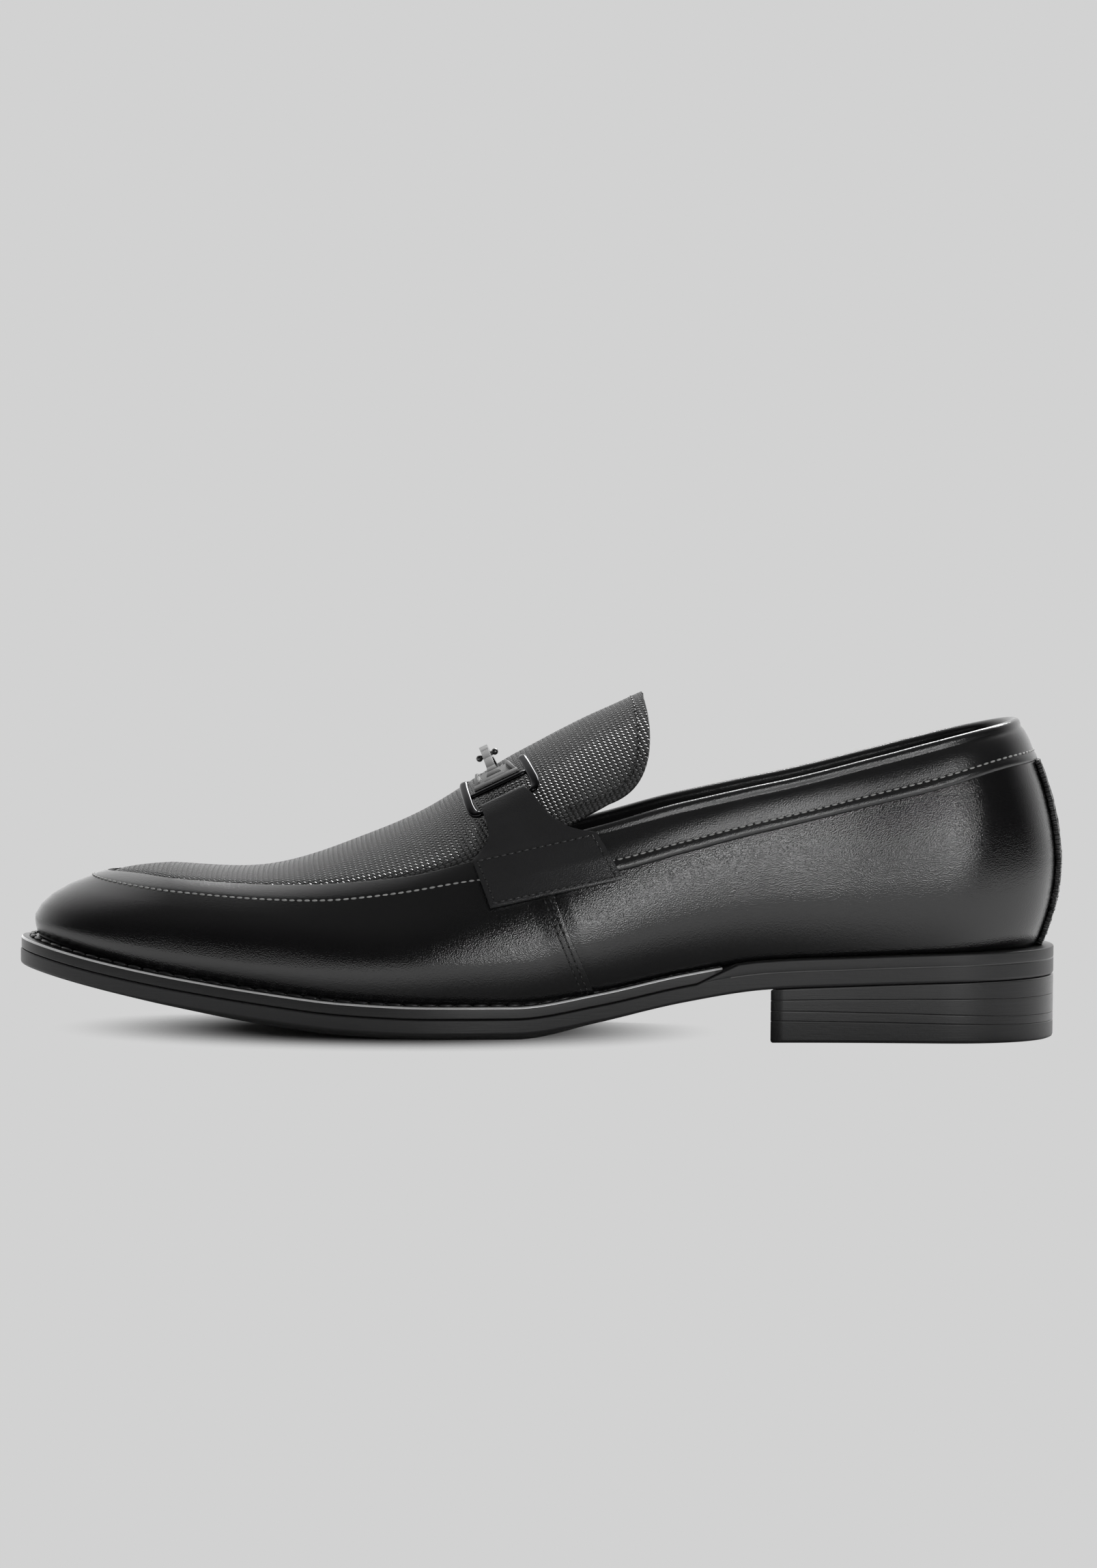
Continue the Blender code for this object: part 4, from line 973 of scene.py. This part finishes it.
@functools.lru_cache(maxsize=None)
def flank_line(side, x, lean, lowest):
    """The leaning section from the crease line down: levels, distances along it and points."""
    levels = np.linspace(2.0, lowest, 48)
    points = np.array([flank_point(side, x, level, lean) for level in levels])
    return levels, distances(points), points


def tongue_side(x, inside=0.0):
    """How far down the flank the tongue's edge lies, along the last from the crease line."""
    t = clamp((x - TONGUE_FREE) / (TONGUE_TIP - inside - TONGUE_FREE))
    return (TONGUE_SIDE - inside) * (1 - t ** TONGUE_ROUNDNESS) ** (1 / TONGUE_ROUNDNESS)


def tuck(x):
    """How far past the apron's edge the plug's edge lies: under it in front, clear of it at the throat."""
    t = clamp((x - PLUG_CLEARS) / (THROAT - PLUG_CLEARS))
    return -PLUG_UNDERLAP + t * t * (3 - 2 * t) * (PLUG_UNDERLAP + PLUG_CLEARANCE)


def tongue_free(x):
    """0 where the plug is sewn, 1 where the tongue is free of the apron."""
    return clamp((x - THROAT) / (TONGUE_FREE - THROAT))


def plug_column(side, station, levels):
    here = rib(side, station)
    edge = here.past_edge(tuck(here.x))
    return [here.at(edge + t * (2 - edge)) for t in levels]


def tongue_low(side, x, lean, inside=0.0):
    """The level of the tongue's free edge, or of a line inside it, the same height on both flanks."""
    _, down, points = flank_line(LATERAL, x, lean, 1.2)
    height = np.interp(tongue_side(x, inside), down, points[:, 2])
    own_levels, _, own = flank_line(side, x, lean, 1.2)
    return float(np.interp(-height, -own[:, 2], own_levels))


def tongue_column(side, x, levels):
    """Points of the tongue from its free edge to the crease line, leaning square to the crease."""
    lean = tongue_free(x) * math.tan(crease_slope(THROAT))
    low = rib(side, round(station_at(x), 6)).past_edge(tuck(x))
    edge = low + tongue_free(x) * (tongue_low(side, x, lean) - low)
    return [flank_point(side, x, edge + t * (2 - edge), lean) for t in levels]


plug_levels = list(np.linspace(0, 1, 41) ** 1.25)
plug_front = [s for side, s in around if side == LATERAL and s > station_at(THROAT) + 0.01]
tongue_run = [*np.linspace(THROAT, TONGUE_FREE, 9)[:-1],
              *(TONGUE_FREE + (TONGUE_TIP - TONGUE_FREE) * np.sin(np.linspace(0, 1.54, 26)))]
columns = [tongue_column(LATERAL, float(x), plug_levels) for x in reversed(tongue_run)]
columns += [plug_column(LATERAL, s, plug_levels) for s in plug_front]
columns += [plug_column(MEDIAL, s, plug_levels) for s in plug_front[-2::-1]]
columns += [tongue_column(MEDIAL, float(x), plug_levels) for x in tongue_run]
plug_grid = np.array(columns).transpose(1, 0, 2)
plug_out = normals(plug_grid, False)
# The narrow columns at the tongue's end and the crease line itself share their normals.
plug_out[:, :7], plug_out[:, -7:] = plug_out[:, 7:8], plug_out[:, -8:-7]
plug_grid[-1] = (plug_grid[-1] + plug_grid[-1, ::-1]) / 2
shared = plug_out[-2] + plug_out[-2, ::-1]
pole = np.isclose(plug_grid[-1], plug_grid[-1, plug_grid.shape[1] // 2], atol=1e-6).all(axis=1)
shared[pole] = shared[pole].sum(axis=0)
plug_out[-1] = shared / np.linalg.norm(shared, axis=1, keepdims=True)
# The plug lies low along the apron's edge and comes up to the last's own line a little way in.
from_edge = np.concatenate([np.zeros((1, plug_grid.shape[1])),
                            np.cumsum(np.linalg.norm(np.diff(plug_grid, axis=0), axis=2), axis=0)])
in_front = np.array([1.0 - clamp((point[0] - DIP_REAR) / DIP_RAMP) for point in plug_grid[0]])
dip = PLUG_DIP * in_front * np.clip(1 - (from_edge - DIP_FROM) / DIP_OVER, 0, 1) ** 2
plug_grid = plug_grid - (PLUG_DROP + dip)[..., None] * plug_out
bm = lay(plug_grid)

crease_run = np.linspace(0.0, 0.20, 401)
crease_arc = distances([(x, crease_height(max(float(x), SPINE_FROM_TOE))) for x in crease_run])
shape = BVHTree.FromBMesh(bm)


def unrolled(point):
    """Where a point of the plug lay in the flat leather: along the crease line, and out from it."""
    x, y, z = np.array(point) - PLACE
    start = x
    for _ in range(5):
        lean = math.tan(crease_slope(clamp(start, 0.05, THROAT)))
        start = x - (crease_height(max(start, SPINE_FROM_TOE)) - z) * lean
    down = Vector((lean, 0.0, -1.0)).normalized()
    middle = axis(start)
    hits = []
    for t in np.linspace(0, 1, 19):
        origin = Vector((start, middle + t * (y - middle), crease_height(max(start, SPINE_FROM_TOE))))
        hit = shape.ray_cast(origin + Vector(PLACE) - down * 0.03, down, 0.15)[0]
        if hit is not None:
            hits.append(hit)
    out = sum((b - a).length for a, b in zip(hits, hits[1:]))
    return Vector((np.interp(start, crease_run, crease_arc), math.copysign(out, y - middle)))


flat = {vert: unrolled(vert.co) for vert in bm.verts}
layer = bm.loops.layers.uv.active
for face in bm.faces:
    for loop in face.loops:
        loop[layer].uv = flat[loop.vert]


def scale_finish(name):
    """Calf embossed with columns of small scales: thin zigzag grooves between columns, short cross
    grooves, and each scale tipped a little so that it catches the light at one end."""
    made, place = new_material(name)
    uv = place.node("UVMap", {"uv_map": "UVMap"})
    along = uv.node("SeparateXYZ", None, {0: uv}, output=0) / SCALE_PITCH
    out = uv.node("SeparateXYZ", None, {0: uv}, output=1) / (SCALE_PITCH * 0.98)
    zigzag = (out.maths("FRACT") - 0.5).maths("ABSOLUTE") * 2
    column = (along + zigzag * 0.34).maths("FRACT")
    beside = ((column - 0.5).maths("ABSOLUTE") * 2).ease(0.42, 0.96)
    slant = (out + column * 0.14).maths("FRACT")
    between = ((slant - 0.5).maths("ABSOLUTE") * 2).ease(0.52, 0.96) * column.ease(0.92, 0.66)
    tip = slant * 0.45 + column * 0.25
    height = (1 - beside) * (1 - between * 0.60) * (tip + 0.75)
    groove_and_painted_shade = beside.maths("MAXIMUM", between).ease(0.35, 0.95)
    # The grooves are painted near black, as painted shade in the recesses, and are rougher than the scales.
    return surface(made, {"Base Color": groove_and_painted_shade.blend(grey(0.090, 0.091), grey(0.0006)),
                          "Roughness": groove_and_painted_shade * 0.5 + 0.14, "Specular IOR Level": 1.0,
                          "Normal": (height + place.noise(2500.0, 2.0) * 0.03).bump(1.0, 0.00090)})


scales = scale_finish("embossed_scale_finish")
plug = mesh_object("plug_and_tongue_leather", bm, scales, "plug_and_tongue")
thicken(plug, PLUG_THICKNESS).use_quality_normals = True
round_edges(plug, "cut_edge", 0.0004, 2)

hem_path, hem_out = [], []
hem_x = [*np.linspace(THROAT + 0.004, TONGUE_FREE, 5)[:-1],
         *(TONGUE_FREE + (TONGUE_TIP - HEM - TONGUE_FREE) * np.sin(np.linspace(0, 1.56, 40)))]
for side, xs in ((LATERAL, hem_x), (MEDIAL, hem_x[::-1])):
    for x in map(float, xs):
        lean = tongue_free(x) * math.tan(crease_slope(THROAT))
        here = flank_point(side, x, tongue_low(side, x, lean, HEM), lean)
        hit, normal, _, _ = shape.find_nearest(Vector(here + PLACE))
        hem_path.append(np.array(hit) - PLACE)
        hem_out.append(np.array(normal))
sew("tongue_stitches", hem_path, hem_out, 0.0023)


# Backstay
# A strip of the same embossed calf over the seam at the heel back, from the sole to the collar band.
BACKSTAY_WIDTH, BACKSTAY_THICKNESS, BACKSTAY_FOOT, BACKSTAY_UNDER = 0.020, 0.0013, 0.02, 0.006
finder = np.linspace(0.0, 1.0, 401)
strip_end = float(np.interp(BACKSTAY_WIDTH / 2, [abs(edge_point(LATERAL, s)[1]) for s in finder], finder))
strip_columns = [(LATERAL, s) for s in np.linspace(strip_end, 0, 15)]
strip_columns += [(MEDIAL, s) for s in np.linspace(0, strip_end, 15)[1:]]
ribs = [rib(side, s) for side, s in strip_columns]
strip_grid = np.array([[here.at(BACKSTAY_FOOT + t * (here.seam() - BACKSTAY_UNDER - BACKSTAY_FOOT))
                        for here in ribs] for t in np.linspace(0.0, 1.0, 90)])
strip_out = normals(strip_grid, False)
strip_out = strip_out if strip_out[..., 0].mean() > 0 else -strip_out
rough = np.random.default_rng(4).normal(0.0, 0.00010, strip_grid.shape[:2])
strip_grid = strip_grid + (GAP + BACKSTAY_THICKNESS + rough)[..., None] * strip_out
backstay = mesh_object("backstay_strip", lay(strip_grid), scales, "backstay")
thicken(backstay, BACKSTAY_THICKNESS)


# Saddle straps
# A strap of calf on each side, folded round the rod of the bit frame, spreading into a patch that is
# sewn to the upper on four sides.
BIT_FROM_TOE, BIT_SLOPE = 0.1390, math.radians(25.5)
ROD_DOWN, ROD_LIFT, ROD_RADIUS = 0.0330, 0.0030, 0.0007
FRAME_HALF_WIDTH, FRAME_TOP, FRAME_CROSSBAR = 0.0096, 0.0150, 0.0241
FRAME_BAR_WIDTH, FRAME_BAR_HEIGHT, FRAME_LIFT = 0.0027, 0.0020, 0.0027
STRAP_THICKNESS, STRAP_LOOP_WIDTH, STRAP_COLUMNS = 0.0012, 0.0140, 29
# Rows across the strap, down from the rod: its front edge's distance from the rod and its height, the
# same for its rear edge, the lift off the last, and how far the row follows its own side's rod.
STRAP = (
    (-0.0053, -0.0057, 0.0087, 0.0013, 0.0036, 1.0),
    (-0.0048, -0.0079, 0.0111, -0.0013, 0.0023, 0.8),
    (-0.0053, -0.0105, 0.0151, -0.0041, 0.0015, 0.5),
    (-0.0073, -0.0130, 0.0201, -0.0059, 0.0010, 0.2),
    (-0.0096, -0.0154, 0.0258, -0.0067, 0.0010, 0.0),
    (-0.0070, -0.0216, 0.0297, -0.0130, 0.0010, 0.0),
    (-0.0045, -0.0278, 0.0332, -0.0193, 0.0010, 0.0),
)


def side_point(side, x, z):
    """The point of the last and its outward normal at a place seen from the side."""
    def find(at_x, at_z):
        here = rib(side, round(station_at(at_x), 6))
        return here.at(min(here.level_of(at_z), 1.999))

    step = 0.0015
    out = unit(np.cross(find(x + step, z) - find(x - step, z), find(x, z + step) - find(x, z - step)))
    return find(x, z), out if out[1] * side > 0 else -out


class BitSection:
    """The last's cross-section under the bit, with a place for anything laid down one flank."""

    def __init__(self, side):
        self.side = side
        _, self.down, self.points = flank_line(side, BIT_FROM_TOE, math.tan(BIT_SLOPE), 1.2)
        self.along = np.array([math.cos(BIT_SLOPE), 0.0, math.sin(BIT_SLOPE)])
        x, _, z = self.surface(ROD_DOWN)
        ends = [side_point(side, x + t * self.along[0], z + t * self.along[2])[0]
                for t in (-FRAME_HALF_WIDTH, FRAME_HALF_WIDTH)]
        self.turn = (ends[1][1] - ends[0][1]) / (2 * FRAME_HALF_WIDTH)

    def surface(self, down):
        return np.array([np.interp(down, self.down, self.points[:, k]) for k in range(3)])

    def at(self, along, down, lift):
        """A point at a distance along the bit, down the flank and off the last."""
        step = 0.004
        run = self.surface(down + step) - self.surface(max(down - step, 0.0))
        if down < step:
            run[1] = (self.surface(down + step) - self.surface(0.0))[1] * 2
            run[0] *= down / step
            run[2] *= down / step
        out = unit(np.cross(self.along, run) * self.side)
        if out[2] < 0:
            out = -out
        along_here = unit(self.along + np.array([0.0, self.turn * min(down / ROD_DOWN, 1.2), 0.0]))
        return self.surface(down) + along * along_here + lift * out


bit_sections = {side: BitSection(side) for side in (LATERAL, MEDIAL)}
# The straps are a still lighter copy of the calf: painted sheen for their soft grey reflection.
strap_calf = calf_finish("strap_calf_painted_sheen_finish", 0.000080, 3.2, 0.26)
for side, label in ((LATERAL, "lateral"), (MEDIAL, "medial")):
    section = bit_sections[side]
    bend = ROD_RADIUS + 1.5 * GAP + STRAP_THICKNESS / 2
    span = np.linspace(-1.0, 1.0, STRAP_COLUMNS)
    fold = [(0.0050, -bend), (0.0025, -bend)]
    fold += [(-bend * math.cos(a), bend * math.sin(a)) for a in np.radians(np.linspace(-90, 90, 8))]
    rows = [[section.at(a * STRAP_LOOP_WIDTH / 2, ROD_DOWN + down, ROD_LIFT + lift) for a in span]
            for down, lift in fold]
    rod = bit_sections[LATERAL].surface(ROD_DOWN)
    sink = rod - section.surface(ROD_DOWN)
    for front, front_height, rear, rear_height, lift, follow in STRAP:
        row = []
        for a in span:
            t = (a + 1) / 2
            x = rod[0] + front + t * (rear - front) - follow * sink[0]
            z = rod[2] + front_height + t * (rear_height - front_height) - follow * sink[2]
            point, out = side_point(side, x, z)
            row.append(point + (lift + STRAP_THICKNESS / 2) * out)
        rows.append(row)
    rows = np.array(rows)
    count = len(rows)
    curve = natural_spline(range(count - 2), rows[:count - 2])
    strap_grid = [curve(t) for t in np.linspace(0, count - 3, (count - 3) * 5 + 1)]
    for low, high in ((count - 3, count - 2), (count - 2, count - 1)):
        strap_grid += [rows[low] + t * (rows[high] - rows[low]) for t in np.linspace(0, 1, 10)[1:]]
    strap_grid = np.array(strap_grid)
    strap_out = normals(strap_grid, False)
    if strap_out[-1, :, 1].mean() * side < 0:
        strap_out = -strap_out
    node = f"saddle_strap_{label}"
    strap = mesh_object(f"{node}_leather", lay(strap_grid), strap_calf, node)
    thicken(strap, STRAP_THICKNESS, offset=0.0)
    round_edges(strap, "cut_edge", 0.0003, 2)

    # Four rows of stitches run inside the patch's edges: corners as a row and a share of the way across.
    patch, last_row = (count - 3) * 5, len(strap_grid) - 1
    corners = [(patch + 0.8, 0.035), (patch + 0.8, 0.955), (last_row - 1.1, 0.955), (last_row - 1.1, 0.045),
               (patch + 0.8, 0.035)]
    path, outs = [], []
    for (r0, t0), (r1, t1) in zip(corners, corners[1:]):
        for t in np.linspace(0, 1, 24)[:-1]:
            r, c = r0 + t * (r1 - r0), (t0 + t * (t1 - t0)) * (STRAP_COLUMNS - 1)
            i, j = min(int(r), last_row - 1), min(int(c), STRAP_COLUMNS - 2)
            f, g = r - i, c - j
            for grid, kept in ((strap_grid, path), (strap_out, outs)):
                kept.append((1 - f) * ((1 - g) * grid[i, j] + g * grid[i, j + 1])
                            + f * ((1 - g) * grid[i + 1, j] + g * grid[i + 1, j + 1]))
    path, outs = np.array(path + path[:1]), np.array(outs + outs[:1])
    sew(f"strap_stitches_{label}", path + STRAP_THICKNESS / 2 * outs, outs, 0.0022)


# Bit frames
# A cast frame on each side in dark polished gunmetal: two arms that curl in under to the rod that the
# strap is folded round, with a slim cross bar between them.
def gunmetal_finish():
    made, place = new_material("gunmetal_finish")
    haze = place.noise(300.0, 4.0)
    return surface(made, {"Base Color": haze.blend(grey(0.020, 0.021), grey(0.040, 0.042)),
                          "Metallic": 1.0, "Roughness": haze * 0.06 + 0.06,
                          "Normal": place.noise(3000.0, 2.0).bump(0.06, 0.0001)})


def bar(path, widths, heights, across, squareness=2.6, steps=20):
    """A bar along a path whose section is a rounded rectangle, closed at both ends, as a mesh."""
    path = np.asarray(path, float)
    tangents = np.gradient(path, axis=0)
    tangents /= np.linalg.norm(tangents, axis=1, keepdims=True)
    rings = []
    for point, tangent, width, height, wide in zip(path, tangents, widths, heights, across):
        up = unit(np.cross(tangent, wide))
        wide = np.cross(up, tangent)
        ring = []
        for k in range(steps + 1):
            c, s = math.cos(2 * math.pi * k / steps), math.sin(2 * math.pi * k / steps)
            ring.append(point + wide * width / 2 * math.copysign(abs(c) ** (2 / squareness), c)
                        + up * height / 2 * math.copysign(abs(s) ** (2 / squareness), s))
        rings.append(ring)
    first_end, last_end = [path[0]] * (steps + 1), [path[-1]] * (steps + 1)
    bm = lay([first_end, *rings, last_end], closed=True)
    bmesh.ops.recalc_face_normals(bm, faces=bm.faces)
    return bm


def gather(bms):
    """Several meshes as one."""
    whole = bmesh.new()
    for bm in bms:
        held = bpy.data.meshes.new("held")
        bm.to_mesh(held)
        bm.free()
        whole.from_mesh(held)
        bpy.data.meshes.remove(held)
    return whole


gunmetal = gunmetal_finish()
for side, label in ((LATERAL, "lateral"), (MEDIAL, "medial")):
    section = bit_sections[side]
    half, low = FRAME_HALF_WIDTH, ROD_DOWN
    sides = [[(sign * half * 0.93, FRAME_TOP, FRAME_LIFT), (sign * half, FRAME_TOP + 0.003, FRAME_LIFT),
              (sign * half * 1.04, FRAME_CROSSBAR, FRAME_LIFT),
              (sign * half * 1.06, low - 0.004, FRAME_LIFT),
              (sign * half * 1.0, low - 0.0014, FRAME_LIFT), (sign * half * 0.9, low - 0.0002, ROD_LIFT),
              (sign * half * 0.80, low, ROD_LIFT)] for sign in (-1, 1)]
    route = sides[0] + [(half * t, low, ROD_LIFT) for t in (-0.5, 0.0, 0.5)] + sides[1][::-1]
    taper = [1.0, 1.0, 1.0, 1.0, 0.9, 0.45, 0.0]
    thin = 2 * ROD_RADIUS
    thick_share = natural_spline(range(len(route)), taper + [0.0] * 3 + taper[::-1])
    way = natural_spline(range(len(route)), np.array([section.at(*point) for point in route]))
    off = natural_spline(range(len(route)), np.array(
        [section.at(a, d, h + 0.001) - section.at(a, d, h) for a, d, h in route]))
    steps = np.linspace(0, len(route) - 1, 97)
    path = np.array([way(t) for t in steps])
    tangents = np.gradient(path, axis=0)
    ends = np.array([min(1.0, (0.02 + min(t, len(route) - 1 - t) / 0.55)) ** 0.5 for t in steps])
    share_here = np.array([clamp(float(thick_share(t))) for t in steps])
    widths = (thin + share_here * (FRAME_BAR_WIDTH - thin)) * ends
    heights = (thin + share_here * (FRAME_BAR_HEIGHT - thin)) * ends
    across = [np.cross(off(t), tangent) for t, tangent in zip(steps, tangents)]
    arms = bar(path, widths, heights, across)
    cross = [section.at(half * t, FRAME_CROSSBAR, FRAME_LIFT) for t in np.linspace(-1.0, 1.0, 9)]
    out = section.at(0, FRAME_CROSSBAR, 0.003) - section.at(0, FRAME_CROSSBAR, 0.002)
    cross_bar = bar(cross, [0.0015] * 9, [0.0013] * 9, [np.cross(out, section.along)] * 9)
    node = f"bit_frame_{label}"
    mesh_object(f"{node}_cast", gather([arms, cross_bar]), gunmetal, node)


# Bit link
# The pale centre of the bit, cast and brushed: an end plate on each flank with a raised rim and two
# sunk pockets, a ridged neck up over the crease line, and two small knobs at the middle.
# Rows of one half, from its end plate up to the middle: down the flank, half width, underside, top.
LINK = (
    (0.0230, 0.0072, 0.0012, 0.0035), (0.0158, 0.0052, 0.0018, 0.0042), (0.0104, 0.0012, 0.0026, 0.0050),
    (0.0050, 0.0012, 0.0030, 0.0058), (0.0022, 0.0013, 0.0022, 0.0062),
)
RIM_WIDTH, POCKET_DEPTH = 0.0011, 0.0010
KNOB_RADIUS, KNOB_SPREAD, KNOB_LIFT = 0.0010, 0.0025, 0.0033


def brushed_finish():
    made, place = new_material("brushed_metal_finish")
    lines = place.stretched((150.0, 5000.0, 5000.0), (0.0, BIT_SLOPE, 0.0)).noise(1.0, 2.0)
    return surface(made, {"Base Color": place.noise(260.0, 3.0).blend(grey(0.15), grey(0.24, 0.238)),
                          "Metallic": 1.0, "Roughness": lines * 0.20 + 0.20,
                          "Normal": lines.bump(0.15, 0.00005)})


def block(section, corners, ease):
    """A small cast block between four corners, each along the bit, down the flank, underside and top."""
    bm = bmesh.new()
    bmesh.ops.create_cube(bm, size=2.0)
    for vert in bm.verts:
        u, v, w = (vert.co + Vector((1, 1, 1))) / 2
        near = np.array(corners[0]) * (1 - u) + np.array(corners[1]) * u
        far = np.array(corners[3]) * (1 - u) + np.array(corners[2]) * u
        along, down, under, top = near * (1 - v) + far * v
        vert.co = Vector(section.at(along, max(down, 0.0), under + w * (top - under)) + PLACE)
    bmesh.ops.recalc_face_normals(bm, faces=bm.faces)
    bmesh.ops.bevel(bm, geom=bm.edges, offset=ease, affect="EDGES", segments=2, profile=0.5, material=-1)
    return bm


def tapered(section, start, end, ease):
    """A block across the bit between two rows of the table: down the flank, half width, underside, top."""
    (da, wa, ua, ta), (db, wb, ub, tb) = start, end
    return block(section, [(-wa, da, ua, ta), (wa, da, ua, ta), (wb, db, ub, tb), (-wb, db, ub, tb)], ease)


metal = brushed_finish()
pieces = []
for side in (LATERAL, MEDIAL):
    section = bit_sections[side]
    (d0, w0, u0, t0), (d1, w1, u1, t1) = LINK[:2]
    pieces.append(tapered(section, (d0, w0, u0, t0 - POCKET_DEPTH), (d1, w1, u1, t1 - POCKET_DEPTH),
                          0.00012))
    pieces.append(tapered(section, (d0, w0, u0 - 0.0006, t0), (d0 - 0.0019, w0 - 0.0005, u0, t0 + 0.0002),
                          0.00018))
    for sign in (-1, 1):
        pieces.append(block(section, [
            (sign * w0, d0, u0, t0), (sign * (w0 - RIM_WIDTH), d0, u0, t0),
            (sign * (w1 - RIM_WIDTH * 0.9), d1, u1, t1), (sign * w1, d1, u1, t1)], 0.00015))
    rows = [(d0 - 0.0012, 0.0040, u0, t0 + 0.0001), (d0 - 0.0030, 0.0024, u0, t0 + 0.0004),
            (0.0180, 0.0016, 0.0018, 0.0043), (0.0158, 0.0013, 0.0020, 0.0045), *LINK[2:],
            (0.0, 0.0013, 0.0022, 0.0063)]
    pieces += [tapered(section, start, end, 0.00006) for start, end in zip(rows, rows[1:])]
section = bit_sections[LATERAL]
for sign in (-1, 1):
    root, middle = section.at(0.0, 0.0, KNOB_LIFT), section.at(sign * KNOB_SPREAD, 0.0, KNOB_LIFT)
    bm = bmesh.new()
    bmesh.ops.create_uvsphere(bm, u_segments=24, v_segments=14, radius=KNOB_RADIUS)
    bmesh.ops.translate(bm, verts=bm.verts, vec=Vector(middle + PLACE))
    pieces.append(bm)
    stem = [root + t * (middle - root) for t in np.linspace(0.1, 0.95, 5)]
    pieces.append(bar(stem, [0.0013] * 5, [0.0013] * 5, [np.array([0.0, 1.0, 0.0])] * 5, 2.0, 16))
link = mesh_object("bit_link_cast", gather(pieces), metal, "bit_link")
link.data.set_sharp_from_angle(angle=0.6)
